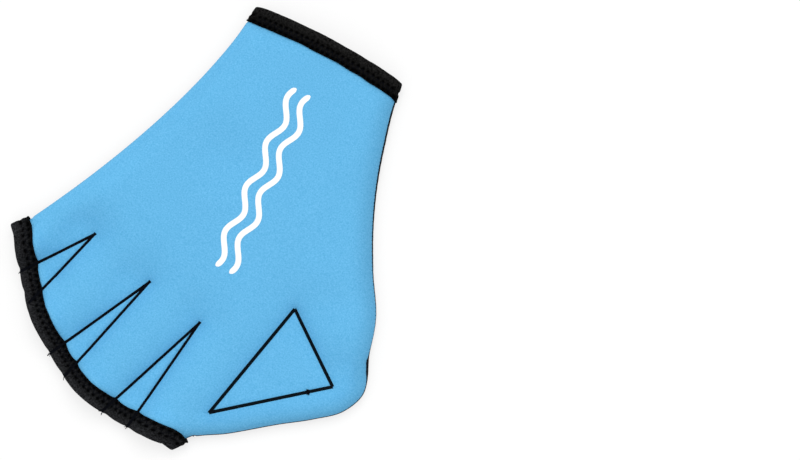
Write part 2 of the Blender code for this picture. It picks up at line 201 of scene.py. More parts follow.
# Section of the folded tape: slack inside it, where the rows across its leg start from the rim and
# end from the edge, how many they are, and the rows and the squareness of its fold
TAPE_SLACK = 0.1
LEG_START = 0.45
LEG_END = 0.3
LEG_ROWS = 17
FOLD_ROWS = 7
FOLD_POWER = 0.8

# Rounded rim of the tape's leg: in from the rim, down from its face
RIM_ROUNDING = (
    (0.0, 0.42),
    (0.08, 0.16),
    (0.22, 0.04),
)

# Uneven tape: wavelength and place in the noise, then how far its rim, its fold and its face wander
TAPE_WANDER = 7.0, 0.3, 0.35, 0.16, 0.12
TAPE_RIPPLE = 2.1, 7.7, 0.08, 0.06, 0.0
FRONT_TAPE_SEED = 3.0
REAR_TAPE_SEED = 5.0
CUFF_TAPE_SEED = 8.0

# Needle rows of the tape: depths inside the panel's edge, starts as shares of the pitch, the dent at
# each hole and the groove
NEEDLE_DEPTHS = 3.5, 6.1
NEEDLE_STARTS = 0.25, 0.75
NEEDLE_PITCH = 2.56
NEEDLE_DENT = 0.5
NEEDLE_SPREAD = 0.68
GROOVE_DEPTH = 0.13
GROOVE_SPREAD = 0.8

# Stitches between the needle rows: share of the way at both ends, how deep they start, their arch,
# points and radius
TAPE_STITCH = 0.08, 0.92
TAPE_STITCH_SUNK = 0.26
TAPE_STITCH_ARCH = 0.24
TAPE_STITCH_POINTS = 8
TAPE_THREAD_RADIUS = 0.15

# How both ends of a tape lie off the bound edge's: at the fold and at the leg's rim past the end,
# then at the fold and at the leg's rim outwards
FINGER_TAPE_ENDS = (2.6, 1.0, 1.8, 1.5), (1.7, 1.6, 0.9, 3.4)
FINGER_END_REACH = 8.0
CUFF_TAPE_ENDS = (-0.5, 0.0, -0.7, 0.0), (-0.5, 0.0, -0.6, -1.1)
CUFF_END_REACH = 3.5

# How a dart's stitches draw the tape's rim further in and its fold too
FOOT_RIM = 0.5
FOOT_FOLD = 0.3
FOOT_REACH = 2.2

# Zigzag thread of the darts and the thumb web: widths, pitch, radius, lift off the skin, smoothing and
# where its points lie in a crossing. A dart's starts before its apex and runs on into the tape's fold,
# by this share of it and this factor, and painted shade darkens the jersey beside both, this far out
DART_WIDTH = 1.2
WEB_WIDTH = 1.5
SATIN_PITCH = 0.5
SATIN_RADIUS = 0.18
SATIN_LIFT = 0.1
SATIN_SMOOTHING = 2
SATIN_SHARES = -1.0, -0.6, 0.0, 0.6
SATIN_START = 0.8
SATIN_FOLD = 0.6
SATIN_EXTRA = 1.04
SEAM_PAINTED_SHADE_REACH = 2.2

# Dark track under the zigzag thread
TRACK_STEP = 0.6
TRACK_LIFT = 0.05

# Knot on the thumb web: which of its sides, how far along it, and the loops' radius and points
KNOT_SIDE = 1
KNOT_SHARE = 0.2
KNOT_RADIUS = 0.75
KNOT_POINTS = 17
KNOT_SMOOTHING = 4

# Loops of the knot: turn, length and width as shares of the radius, lift
KNOT_LOOPS = (
    (0.0, 1.0, 1.0, 0.30),
    (0.8, 1.2, 0.85, 0.42),
    (1.6, 1.4, 0.7, 0.54),
    (2.4, 1.6, 0.55, 0.66),
)

# Loose thread ends at a dart's foot: how many, their spread in radians, lengths, drops, and how far
# back and down they start
TAILS = 4
TAIL_SPREAD = 0.9
TAIL_LENGTHS = 1.0, 2.4
TAIL_DROPS = 0.6, 2.0
TAIL_SUNK = 0.5
TAIL_RADIUS = 0.14
TAIL_POINTS = 8
TAIL_SEED = 4

# Upright stitches of the sides: pitch, how far inside the bands of the tapes they start and end, half
# their turn round the roll, how deep they lie, their lean and the step between the panels
SIDE_PITCH = 1.7
SIDE_STITCH_MARGINS = 1.0, 2.0
SIDE_STITCH_TURN = 0.42
SIDE_STITCH_SUNK = 0.07
SIDE_STITCH_LEAN = 0.2
SIDE_STITCH_STEP = 0.1
SIDE_STITCH_POINTS = 7
SIDE_THREAD_RADIUS = 0.11

# Print down the middle of the front panel: two waves, side by side, with rounded tips
PRINT_START = -24.0
PRINT_END = -112.0
PRINT_SPACING = 7.0
PRINT_SWING = 2.2
PRINT_WAVE = 22.0
PRINT_WIDTH = 2.6
PRINT_LEAN = -0.055
PRINT_STEP = 0.8
PRINT_TIP = 0.1
PRINT_TIP_WIDTH = 0.02
PRINT_LIFT = 0.07

# Thin films that lie on the glove: lanes across them, and their thickness
FILM_LANES = 5
FILM_THICKNESS = 0.04

# Height above and below the glove from which its outside is sought
RAY_HEIGHT = 60.0

# Fibre colours of each jersey, in shadow and in light
BLUE_FIBRES = (0.055, 0.330, 0.60), (0.190, 0.563, 0.898)
CHARCOAL_FIBRES = (0.012, 0.013, 0.015), (0.030, 0.032, 0.038)
LINING_FIBRES = (0.008, 0.009, 0.010), (0.022, 0.023, 0.027)
BLUE_TINT = (0.6, 0.8, 1.0, 1.0)
WHITE = (1.0, 1.0, 1.0, 1.0)

# Knit of the jersey: column, row, slant of its stitches and their height beside the columns'
KNIT_WALE = 0.52
KNIT_COURSE = 0.44
KNIT_SLANT = 1.5
KNIT_STITCH = 0.4

# Jersey: grains in a metre of its fibres, its clouds and its soft bumps, how much each part shades
# (beside the seams this is painted shade), and its relief in metres with its strength
FIBRE_GRAINS = 1500.0
CLOUD_GRAINS = 45.0
SOFT_GRAINS = 420.0
CLOUD_SHADE = 0.06
SEAM_PAINTED_SHADE = 0.04
KNIT_SHADE = 0.03, 0.98
SOFT_RELIEF = 2.0
JERSEY_RELIEF = 0.00003, 0.5

# Weave of the tape: rib along it and weft across, and how much they shade
TAPE_RIB = 0.62
TAPE_WEFT = 0.5
RIB_SHARE = 0.6
WEAVE_SHADE = 0.25, 1.0

# Tape: painted shade in a needle hole and its least, grains of its wear in a metre, their contrast, and its
# relief in metres with its strength
HOLE_PAINTED_SHADE = -1.5, 1.0
HOLE_LEAST = 0.03
WORN_GRAINS = 1300.0
WORN_CONTRAST = 4.5
TAPE_GRAINS = 900.0
TAPE_GRAIN_RELIEF = 1.2
TAPE_RELIEF = 0.00007, 0.6

# Painted sheen along the tape's fold, lighter, and a darker rim of its leg, partly pressed cloth and
# partly painted shade: depth and factor where each starts and ends
FOLD_PAINTED_SHEEN = (0.6, 1.6), (2.6, 1.0)
RIM_PAINTED_SHADE = (4.6, 1.0), (TAPE_LEG - 0.4, 0.35)

# Plain colours
CUFF_CLOTH = (0.0062, 0.0061, 0.0060)
FINGER_CLOTH = (0.0108, 0.0112, 0.0122)
BLACK_THREAD = (0.0030, 0.0036, 0.0060)
SLATE_THREAD = (0.0034, 0.0070, 0.0105)
FOAM_CORE = (0.014, 0.014, 0.015)
NEEDLE_TRACK = (0.002, 0.002, 0.003)
WHITE_FILM = (0.93, 0.94, 0.95)

# Grained finishes: roughness, shine, grains in a metre, detail, contrast, relief in metres, strength
GRAINS = {
    "thread": (0.8, 0.03, 2600.0, 2.0, 0.6, 0.00008, 0.5),
    "film": (0.5, 0.5, 1300.0, 2.0, 0.05, 0.00003, 0.5),
    "foam": (0.95, 0.05, 2400.0, 4.0, 0.9, 0.0001, 0.7),
}

# Painted shade near the thumb side, where the panel turns from the light: how much darker, how far in
THUMB_EDGE_PAINTED_SHADE = 0.19
THUMB_EDGE_PAINTED_SHADE_REACH = 5.0

# Picture: scale at the glove, turn of the glove and what lies at the picture's middle
PICTURE_WIDTH = 361.2
GLOVE_TURN = 28.0
PICTURE_X = 67.3
PICTURE_Y = -58.2
CAMERA_HEIGHT = 1300.0
CAMERA_SENSOR = 36.0
CAMERA_CLIP = 0.05, 20.0

# Floor, its size and drop in metres, with a glow of its own, and a broad soft key, from this way in
# the picture
FLOOR_SIZE = 6.0
FLOOR_DROP = 0.0002
FLOOR_SHADE = 0.30
FLOOR_GLOW = 0.69
FLOOR_GRAINS = 3.0
FLOOR_CONTRAST = 0.01
KEY_FROM = (0.06, 0.62, 1.0)
KEY_STRENGTH = 0.965
KEY_SOFTNESS = 0.6

# White room, brighter overhead: height as a share, shade
SKY_STRENGTH = 1.035
SKY = (
    (0.0, 0.9),
    (0.12, 0.9),
    (0.22, 0.57),
    (1.0, 1.0),
)

# Heights that follow from the walls
HALF_PANEL = PANEL_THICKNESS / 2
HALF_BOUND = BOUND_THICKNESS / 2
HALF_STITCHED = STITCHED_THICKNESS / 2
TAPE_REACH = PIECE_GAP + TAPE_THICKNESS
HALF_TAPED = HALF_BOUND + TAPE_REACH
FLOOR_HEIGHT = HALF_PANEL
REAR_HEIGHT = HALF_TAPED
SEAM_HEIGHT = REAR_HEIGHT + ROLL_RADIUS + PIECE_GAP / 2
SIDE_HEIGHT = SEAM_HEIGHT + SEAM_GAP / 2 + ROLL_RADIUS
STITCH_HEIGHT = REAR_HEIGHT + STITCHED_THICKNESS + SEAM_GAP
FOOT_HEIGHT = REAR_HEIGHT + 2 * HALF_TAPED + SEAM_GAP
WEB_HEIGHT = REAR_HEIGHT + PANEL_THICKNESS + PIECE_GAP
PALM_HEIGHT = FLOOR_HEIGHT + PANEL_THICKNESS + PALM_GAP
WRIST_PEAK = REAR_HEIGHT + 2 * HALF_TAPED + WRIST_GAP
FINGER_PEAK = REAR_HEIGHT + 2 * HALF_TAPED + FINGER_GAP

# Rows along a bound edge, as depths inside it
BAND_ROWS = (*(TAPE_LEG * share / 5 for share in range(6)), TAPE_LEG + TAPE_REACH)

# Height and normal of a point that the sheet leaves free
FREE = math.nan
FREE_NORMAL = (FREE,) * 3


# Outline

class Curve:
    """A smooth plan curve through a few points, measured along its length."""

    def __init__(self, points):
        points = np.array(points, float)
        chords = np.linalg.norm(np.diff(points, axis=0), axis=1)
        at = np.concatenate([[0.0], np.cumsum(chords)])
        slopes = np.gradient(points, at, axis=0)
        distance = np.linspace(0.0, at[-1], round(at[-1] / CURVE_STEP) + 1)
        i = np.clip(np.searchsorted(at, distance, side="right") - 1, 0, len(chords) - 1)
        span = chords[i][:, None]
        u = (distance[:, None] - at[i][:, None]) / span
        self.points = (
            (2 * u**3 - 3 * u**2 + 1) * points[i]
            + (u**3 - 2 * u**2 + u) * span * slopes[i]
            + (3 * u**2 - 2 * u**3) * points[i + 1]
            + (u**3 - u**2) * span * slopes[i + 1]
        )
        steps = np.linalg.norm(np.diff(self.points, axis=0), axis=1)
        self.at = np.concatenate([[0.0], np.cumsum(steps)])
        self.length = self.at[-1]

    def place(self, distance):
        x = np.interp(distance, self.at, self.points[:, 0])
        y = np.interp(distance, self.at, self.points[:, 1])
        return np.stack([x, y], axis=-1)

    def along(self, distance):
        ahead = self.place(np.minimum(distance + CURVE_STEP, self.length))
        behind = self.place(np.maximum(distance - CURVE_STEP, 0.0))
        return unit(ahead - behind)


def unit(vectors):
    return vectors / np.linalg.norm(vectors, axis=-1, keepdims=True)


def left_of(directions):
    """The directions a quarter turn to the left, in plan."""
    return np.stack([-directions[..., 1], directions[..., 0]], axis=-1)


def finger_place(across, down):
    x = -PINKY_REACH + across * (PINKY_REACH + FINGER_END)
    return x, -PINKY_DROP - down * (GLOVE_LENGTH - PINKY_DROP)


def thumb_place(across, down):
    x = FINGER_END + across * (THUMB_REACH - FINGER_END)
    return x, -THUMB_DROP - down * (GLOVE_LENGTH - THUMB_DROP)


def pinky_side():
    flare = PINKY_REACH - WRIST_WIDTH / 2
    shares = np.linspace(0.0, 1.0, PINKY_POINTS)
    return Curve([(-WRIST_WIDTH / 2 - flare * s**PINKY_CURVE, -PINKY_DROP * s) for s in shares])


def thumb_side():
    flare = THUMB_REACH - WRIST_WIDTH / 2
    upper = [(WRIST_WIDTH / 2 + flare * out, -THUMB_DROP * down) for down, out in THUMB_SIDE]
    return Curve(upper + [thumb_place(*row) for row in THUMB_HEM])


def finger_edge():
    return Curve([finger_place(*row) for row in FINGER_EDGE])


def wrist_edge():
    shares = np.linspace(-1.0, 1.0, WRIST_POINTS)
    return Curve([(WRIST_WIDTH / 2 * s, WRIST_BOW * (1 - s * s)) for s in shares])


def roll_insets():
    """How far inside the side edge each row of the roll lies."""
    return [ROLL_RADIUS * (1 - math.sin(math.radians(turn))) for turn in ROLL_TURNS]


def side_start(side, at_end):
    """The straight run of a side through the band at one of its ends, as a unit vector."""
    reach = BAND_ROWS[-1]
    if at_end:
        return unit(side.place(side.length - reach) - side.place(side.length))
    return unit(side.place(reach) - side.place(0.0))


def even_steps(start, end, step):
    return list(np.linspace(start, end, max(1, math.ceil((end - start) / step)) + 1)[:-1])


class Band:
    """The bound strip along an edge: its stations, each with its inward run and its roll."""

    def __init__(self, edge, inward, runs, feet, step):
        self.edge, self.feet = edge, feet
        ends = []
        for sign, at, run in zip((1, -1), (0.0, edge.length), runs):
            along = sign * edge.along(at)
            sine = np.dot(run, sign * inward * left_of(along))
            ends.append((sign, run, along, sine, np.dot(run, along) / sine))
        (*_, first_sine, first_lean), (*_, last_sine, last_lean) = ends
        first_roll = [inset / first_sine for inset in roll_insets()]
        last_roll = [edge.length - inset / last_sine for inset in roll_insets()][::-1]
        self.rolled = first_roll[-1], last_roll[0]
        stops = [self.rolled[0], *feet, self.rolled[1]]
        middle = [at for start, end in zip(stops, stops[1:]) for at in even_steps(start, end, step)]
        self.at = np.array(first_roll[:-1] + middle + last_roll)
        self.points = edge.place(self.at)
        self.along = edge.along(self.at)
        near_first = np.clip(1 - (self.at - self.rolled[0]) / LEAN_REACH, 0.0, 1.0)
        near_last = np.clip(1 - (self.rolled[1] - self.at) / LEAN_REACH, 0.0, 1.0)
        lean = near_first * first_lean - near_last * last_lean
        self.runs = inward * left_of(self.along) + lean[:, None] * self.along
        self.turn = np.zeros(len(self.at))
        self.outward = np.zeros_like(self.points)
        rolls = len(ROLL_TURNS)
        for part, (sign, run, along, sine, _) in zip((slice(rolls), slice(-rolls, None)), ends):
            self.runs[part] = run / sine
            self.turn[part] = np.radians(ROLL_TURNS)[::sign]
            away = left_of(run)
            self.outward[part] = away if np.dot(away, -along) > 0 else -away

    def row(self, depth):
        return self.points + self.runs * depth

    def nearest(self, distance):
        return int(np.argmin(np.abs(self.at - distance)))


def swell(distance, start, end, low, high, peak):
    """The height of an open mouth's edge: low at its start, high at its end and a peak between."""
    share = (distance - start) / (end - start)
    base = low + (high - low) * share
    return base + (peak - base) * np.clip(1 - (2 * share - 1) ** 2, 0.0, 1.0) ** MOUTH_POWER


def dart_feet(edge):
    return [share * edge.length for dart in DARTS for share in dart[2:]]


def mouth_heights(band, peak):
    """The front panel's height at each station of an edge, with the peak in each of its mouths."""
    heights = np.full(len(band.at), SIDE_HEIGHT)
    feet = [(foot, FOOT_HEIGHT) for foot in band.feet]
    stops = [(band.rolled[0], SIDE_HEIGHT), *feet, (band.rolled[1], SIDE_HEIGHT)]
    for number, ((start, low), (end, high)) in enumerate(zip(stops, stops[1:])):
        part = (band.at >= start) & (band.at <= end)
        top = FOOT_HEIGHT if number % 2 else peak
        heights[part] = swell(band.at[part], start, end, low, high, top)
    return heights


def rear_heights(band):
    return np.full(len(band.at), REAR_HEIGHT)


def rolled(heights, turns, is_front):
    """Heights bent round a side's roll, the front panel's down and the rear one's up."""
    return heights + (-1.0 if is_front else 1.0) * ROLL_RADIUS * (1 - np.cos(turns))


def band_normals(band, heights):
    """Upward normals of a surface that has these heights along the band and is level across it."""
    slope = np.gradient(heights, band.at)
    slope[band.turn > 0] = 0.0
    across = left_of(band.runs)
    gradient = across * (slope / np.sum(across * band.along, axis=1))[:, None]
    normals = unit(np.column_stack([-gradient, np.ones(len(slope))]))
    for i in np.flatnonzero(np.linalg.norm(band.outward, axis=1)):
        flat = band.outward[i] * math.sin(band.turn[i])
        normals[i] = (*flat, math.cos(band.turn[i]))
    return normals


# Panels

class Plan:
    """The plan mesh that both panels share, with what is known of each of its points."""

    def __init__(self):
        self.points = []
        self.edges = []
        self.known = []

    def add(
        self, point, front=FREE, rear=FREE, half=HALF_PANEL, turn=0.0, outward=(0, 0), normal=FREE_NORMAL
    ):
        """Adds a point with its heights, half wall, turn round the roll, way outwards and normal."""
        self.points.append((float(point[0]), float(point[1])))
        self.known.append((front, rear, half, turn, *outward, *normal))
        return len(self.points) - 1

    def join(self, indices):
        self.edges += list(zip(indices, indices[1:]))

    def add_band(self, band, heights):
        normals = band_normals(band, heights)
        grid = []
        for depth in BAND_ROWS:
            inner = depth == BAND_ROWS[-1]
            half = HALF_PANEL if inner else HALF_BOUND
            row = []
            for i, point in enumerate(band.row(depth)):
                normal = FREE_NORMAL if inner and not band.turn[i] else normals[i]
                index = self.add(point, heights[i], REAR_HEIGHT, half, band.turn[i], band.outward[i], normal)
                row.append(index)
            grid.append(row)
            self.join(row)
        for column in zip(*grid):
            self.join(column)
        return grid

    def add_side(self, side, inward, start_column, end_column):
        """The rolled rows of a side, between the columns that two bands end in."""
        corners = np.array(self.points)[[start_column[0], end_column[0]]]
        first = np.linalg.norm(corners[0] - side.place(0.0))
        last = side.length - np.linalg.norm(corners[1] - side.place(side.length))
        at = np.array(even_steps(first, last, EDGE_STEP)[1:])
        normal = inward * left_of(side.along(at))
        rows = []
        for inset, turn, start, end in zip(roll_insets(), ROLL_TURNS, start_column, end_column):
            row = [start]
            for point, away in zip(side.place(at) + normal * inset, -normal):
                angle = math.radians(turn)
                up = FREE_NORMAL if turn == 0.0 else (*(away * math.sin(angle)), math.cos(angle))
                row.append(self.add(point, SIDE_HEIGHT, REAR_HEIGHT, HALF_PANEL, angle, away, up))
            row.append(end)
            rows.append(row)
            self.join(row)
        for column in zip(*rows):
            self.join(column)
        return rows

    def add_seam(self, start, end, first, last, eased_end):
        """A stitched line from point to point; first and last are the numbers of known points or None."""
        start, end = np.array(start), np.array(end)
        length = np.linalg.norm(end - start)
        count = max(2, round(length / SEAM_STEP))
        line = [self.add_stitched(start) if first is None else first]
        for share in np.linspace(0.0, 1.0, count + 1)[1:-1]:
            eased = eased_end and (1 - share) * length < STITCH_EASE
            line.append(self.add_stitched(start + (end - start) * share, eased))
        line.append(self.add_stitched(end) if last is None else last)
        self.join(line)
        return line

    def add_stitched(self, point, eased=False):
        return self.add(point, FREE if eased else STITCH_HEIGHT, REAR_HEIGHT, HALF_STITCHED)


def inside(points, loop):
    """Which points lie inside a closed loop."""
    found = np.zeros(len(points), bool)
    for (ax, ay), (bx, by) in zip(loop, np.roll(loop, -1, axis=0)):
        crosses = (ay > points[:, 1]) != (by > points[:, 1])
        with np.errstate(divide="ignore", invalid="ignore"):
            x = ax + (points[:, 1] - ay) * (bx - ax) / (by - ay)
        found ^= crosses & (points[:, 0] < x)
    return found


def distance_to_segments(points, starts, ends):
    nearest = np.full(len(points), np.inf)
    for a, b in zip(starts, ends):
        run = b - a
        share = np.clip((points - a) @ run / (run @ run), 0.0, 1.0)
        nearest = np.minimum(nearest, np.linalg.norm(points - a - share[:, None] * run, axis=1))
    return nearest


def lattice(low, high, step):
    """Points of a lattice of even triangles."""
    rows = np.arange(low[1], high[1], step * math.sqrt(0.75))
    return np.array(
        [(x + step / 2 * (i % 2), y) for i, y in enumerate(rows) for x in np.arange(low[0], high[0], step)]
    )


class Sheet:
    """How the plan mesh answers stretch and bending, as a springy sheet."""

    def __init__(self, points, faces):
        rows, columns, values = [], [], []
        self.area = np.zeros(len(points))
        for turn in range(3):
            i, j, k = (faces[:, (turn + n) % 3] for n in range(3))
            a, b = points[i] - points[k], points[j] - points[k]
            area = a[:, 0] * b[:, 1] - a[:, 1] * b[:, 0]
            weight = 0.5 * np.sum(a * b, axis=1) / area
            rows += [i, j, i, j]
            columns += [j, i, i, j]
            values += [-weight, -weight, weight, weight]
            np.add.at(self.area, k, area / 6)
        self.rows = np.concatenate(rows)
        self.columns = np.concatenate(columns)
        self.values = np.concatenate(values)
        diagonal = self.rows == self.columns
        self.own = np.bincount(self.rows[diagonal], self.values[diagonal], len(points))

    def pull(self, heights):
        return np.bincount(self.rows, self.values * heights[self.columns], len(heights))

    def relaxed(self, target, pinned, stretch, bend):
        """Heights that follow the target within both reaches, and keep the pinned ones."""

        def system(heights):
            pull = self.pull(heights)
            return self.area * heights + stretch**2 * pull + bend**4 * self.pull(pull / self.area)

        free = np.isnan(pinned)
        heights = np.where(free, target, pinned)
        own = self.area + stretch**2 * self.own + bend**4 * self.own**2 / self.area
        residual = np.where(free, self.area * target - system(heights), 0.0)
        scaled = residual / own
        step = scaled.copy()
        energy = residual @ scaled
        limit = SOLVER_LIMIT * energy
        for _ in range(SOLVER_ROUNDS):
            answer = np.where(free, system(step), 0.0)
            share = energy / (step @ answer)
            heights += share * step
            residual -= share * answer
            scaled = residual / own
            last, energy = energy, residual @ scaled
            if energy < limit:
                break
            step = scaled + energy / last * step
        return heights


def thumb_lie(share, is_front):
    """How far outwards a panel lies at a share of the thumb side."""
    shares, outwards, inwards = np.array(THUMB_LIE).T
    return np.interp(share, shares, outwards) - is_front * np.interp(share, shares, inwards)


def vertex_normals(points, faces):
    corners = points[faces]
    crosses = np.cross(corners[:, 1] - corners[:, 0], corners[:, 2] - corners[:, 0])
    normals = np.zeros_like(points)
    for turn in range(3):
        np.add.at(normals, faces[:, turn], crosses)
    return unit(normals)


def distance_to_curve(points, curve):
    nearest = np.full(len(points), np.inf)
    for place in curve.place(np.arange(0.0, curve.length, CURVE_STEP)):
        nearest = np.minimum(nearest, np.hypot(*(points - place).T))
    return nearest


def hollows(points, rows):
    """How deep each plan point lies in soft round hollows, from rows of place, radius and depth."""
    depth = np.zeros(len(points))
    for x, y, radius, size in rows:
        depth += size * np.exp(-(np.hypot(points[:, 0] - x, points[:, 1] - y) / radius) ** 2)
    return depth


def waves(points, rows, seed):
    """A slow random height at each plan point, from rows of wavelength and height."""
    heights = np.zeros(len(points))
    for number, (length, height) in enumerate(rows):
        shift = NOISE_SHIFT * (seed + number)
        heights += height * np.array([noise.noise((x / length, y / length, shift)) for x, y in points])
    return heights


class Glove:
    """The plan mesh, the bands along its edges and the heights of both panels."""

    def __init__(self):
        self.left, self.right = pinky_side(), thumb_side()
        self.sides = (self.left, 1), (self.right, -1)
        wrist_band, self.finger = self.wrist_band(EDGE_STEP), self.finger_band(EDGE_STEP)
        plan = Plan()
        wrist = plan.add_band(wrist_band, mouth_heights(wrist_band, WRIST_PEAK))
        finger = plan.add_band(self.finger, mouth_heights(self.finger, FINGER_PEAK))
        rolls = len(ROLL_TURNS)
        left_rows, right_rows = (
            plan.add_side(side, inward, wrist[-1][::inward][:rolls], finger[-1][::inward][:rolls])
            for side, inward in self.sides
        )
        rim = wrist[-1][rolls - 1 : 1 - rolls] + right_rows[-1][1:-1]
        rim += finger[-1][rolls - 1 : 1 - rolls][::-1] + left_rows[-1][1:-1][::-1]
        first_seam = len(plan.edges)
        self.add_darts(plan, finger[-1])
        self.add_thumb_web(plan)
        self.add_lattice(plan, rim, plan.edges[first_seam:])
        self.mesh_plan(plan)
        self.set_heights()

    def wrist_band(self, step):
        return Band(wrist_edge(), -1, [side_start(side, False) for side, _ in self.sides], [], step)

    def finger_band(self, step):
        edge = finger_edge()
        return Band(edge, 1, [side_start(side, True) for side, _ in self.sides], dart_feet(edge), step)

    def add_darts(self, plan, inner_row):
        self.webs = []
        self.seams = []
        for across, down, *feet in DARTS:
            apex = finger_place(across, down)
            tip = None
            corners = [apex]
            for share in feet:
                foot = inner_row[self.finger.nearest(share * self.finger.edge.length)]
                corners.append(plan.points[foot])
                tip = plan.add_seam(apex, plan.points[foot], tip, foot, True)[0]
                self.seams.append((apex, plan.points[foot], True))
            self.webs.append(np.array(corners))

    def add_thumb_web(self, plan):
        corners = [thumb_place(*row) for row in THUMB_WEB]
        known = [plan.add_stitched(corner) for corner in corners]
        for i in range(3):
            j = (i + 1) % 3
            plan.add_seam(corners[i], corners[j], known[i], known[j], False)
            self.seams.append((corners[i], corners[j], False))
        self.webs.append(np.array(corners))

    def add_lattice(self, plan, rim, seam_pairs):
        fixed = np.array(plan.points)
        loop = fixed[rim]
        points = lattice(fixed.min(axis=0), fixed.max(axis=0), PANEL_STEP)
        points = points[inside(points, loop)]
        pairs = np.concatenate([np.array(seam_pairs), np.column_stack([rim, np.roll(rim, -1)])])
        clear = distance_to_segments(points, fixed[pairs[:, 0]], fixed[pairs[:, 1]]) > 0.5 * PANEL_STEP
        for point in points[clear]:
            plan.add(point)

    def mesh_plan(self, plan):
        given = [Vector(point) for point in plan.points]
        _, _, faces, origins, *_ = delaunay_2d_cdt(given, plan.edges, [], 1, MERGE_DISTANCE)
        order = [origin[0] for origin in origins]
        self.points, known = np.array(plan.points)[order], np.array(plan.known)[order]
        self.front, self.rear, self.half, self.turn = known[:, :4].T.copy()
        self.outward, self.normal = known[:, 4:6].copy(), known[:, 6:].copy()
        faces = np.array(faces, int)
        a, b, c = (self.points[faces[:, n]] for n in range(3))
        turned = (b - a)[:, 0] * (c - a)[:, 1] - (b - a)[:, 1] * (c - a)[:, 0] < 0
        faces[turned] = faces[turned][:, ::-1]
        self.faces = faces

    def set_heights(self):
        sheet = Sheet(self.points, self.faces)
        web = np.zeros(len(self.points), bool)
        for corners in self.webs:
            web |= inside(self.points, corners)
        starts, ends = (np.array([seam[n] for seam in self.seams]) for n in range(2))
        self.seam_distance = distance_to_segments(self.points, starts, ends)
        unbound = (self.half > HALF_BOUND) & (self.turn == 0)
        pinch = np.exp(-((self.seam_distance / PINCH_REACH) ** 2))
        pinched = HALF_PANEL - (HALF_PANEL - HALF_STITCHED) * pinch
        self.half = np.where(unbound, np.minimum(self.half, pinched), self.half)
        self.thumb_distance = distance_to_curve(self.points, self.right)
        palm_height = PALM_HEIGHT - hollows(self.points, HOLLOWS)
        for distance, (depth, reach) in (
            (self.seam_distance, SEAM_SINK),
            (self.thumb_distance - ROLL_RADIUS, SIDE_SINK),
        ):
            palm_height = palm_height - depth * np.exp(-((np.maximum(distance, 0.0) / reach) ** 2))
        palm_height = np.maximum(palm_height, WEB_HEIGHT)
        front_target = np.where(web, WEB_HEIGHT, palm_height) + waves(self.points, PANEL_WAVES, 1)
        rear_target = np.full(len(self.points), FLOOR_HEIGHT - PIECE_GAP / 3)
        rear = sheet.relaxed(rear_target, self.rear, REAR_STRETCH, REAR_BEND)
        self.rear_level = np.maximum(rear, FLOOR_HEIGHT)
        front = sheet.relaxed(front_target, self.front, FRONT_STRETCH, FRONT_BEND)
        least = self.rear_level + 2 * self.half + SEAM_GAP
        self.front_level = np.where(np.isnan(self.front), np.maximum(front, least), front)

    def surface(self, is_front):
        """The middle surface of a panel and its upward normals."""
        level = rolled(self.front_level if is_front else self.rear_level, self.turn, is_front)
        surface = np.column_stack([self.points + self.lie(is_front), level])
        normals = vertex_normals(surface, self.faces)
        known = ~np.isnan(self.normal[:, 0])
        given = self.normal[known].copy()
        if not is_front:
            given[:, :2] = -self.outward[known] * np.sin(self.turn[known])[:, None]
            given[:, 2] = np.cos(self.turn[known])
        normals[known] = unit(given)
        return surface, normals

    def lie(self, is_front):
        """How far a panel lies off the plan at each point, near the thumb side."""
        at = np.arange(0.0, self.right.length, 1.0)
        side = self.right.place(at)
        nearest = np.array([np.argmin(np.linalg.norm(side - point, axis=1)) for point in self.points])
        reach = np.linalg.norm(side[nearest] - self.points, axis=1)
        size = thumb_lie(at[nearest] / self.right.length, is_front)
        size *= np.clip(1 - reach / LIE_REACH, 0.0, 1.0) ** 2
        return left_of(self.right.along(at[nearest])) * size[:, None]


def boundary_edges(faces):
    ends = np.concatenate([faces[:, [0, 1]], faces[:, [1, 2]], faces[:, [2, 0]]])
    pairs = {tuple(pair) for pair in ends}
    return [(a, b) for a, b in pairs if (b, a) not in pairs]


# Meshes

class Shape:
    """Points and faces of a piece, with a material number for each face and values for each point."""

    def __init__(self):
        self.points = []
        self.faces = []
        self.slots = []
        self.values = {}

    def add(self, points, faces, slot=0, **values):
        start = sum(len(part) for part in self.points)
        self.points.append(np.array(points, float))
        self.faces += [tuple(int(i) + start for i in face) for face in faces]
        self.slots += [slot] * len(faces)
        for name, value in values.items():
            self.values.setdefault(name, []).append(np.broadcast_to(value, len(points)))

    def make(self, name, materials, shift):
        mesh = bpy.data.meshes.new(name)
        points = (np.concatenate(self.points) + shift) * MM
        mesh.from_pydata(points.tolist(), [], self.faces)
        for material in materials:
            mesh.materials.append(material)
        mesh.polygons.foreach_set("material_index", np.array(self.slots, np.int32))
        for label, parts in self.values.items():
            attribute = mesh.attributes.new(label, "FLOAT", "POINT")
            attribute.data.foreach_set("value", np.concatenate(parts).astype(np.float32))
        mesh.validate()
        shape = bmesh.new()
        shape.from_mesh(mesh)
        bmesh.ops.recalc_face_normals(shape, faces=shape.faces)
        shape.to_mesh(mesh)
        shape.free()
        mesh.shade_smooth()
        mesh.set_sharp_from_angle(angle=math.radians(SHARP_ANGLE))
        piece = bpy.data.objects.new(name, mesh)
        bpy.context.scene.collection.objects.link(piece)
        return piece


def swept_faces(count, size, is_ring=False):
    """Faces between the sections of a sweep, and one over each end where it is no ring."""
    faces = []
    for i in range(count if is_ring else count - 1):
        j = (i + 1) % count
        for a in range(size):
            b = (a + 1) % size
            faces.append((i * size + a, i * size + b, j * size + b, j * size + a))
    if not is_ring:
        faces.append(tuple(range(size))[::-1])
        faces.append(tuple((count - 1) * size + a for a in range(size)))
    return faces


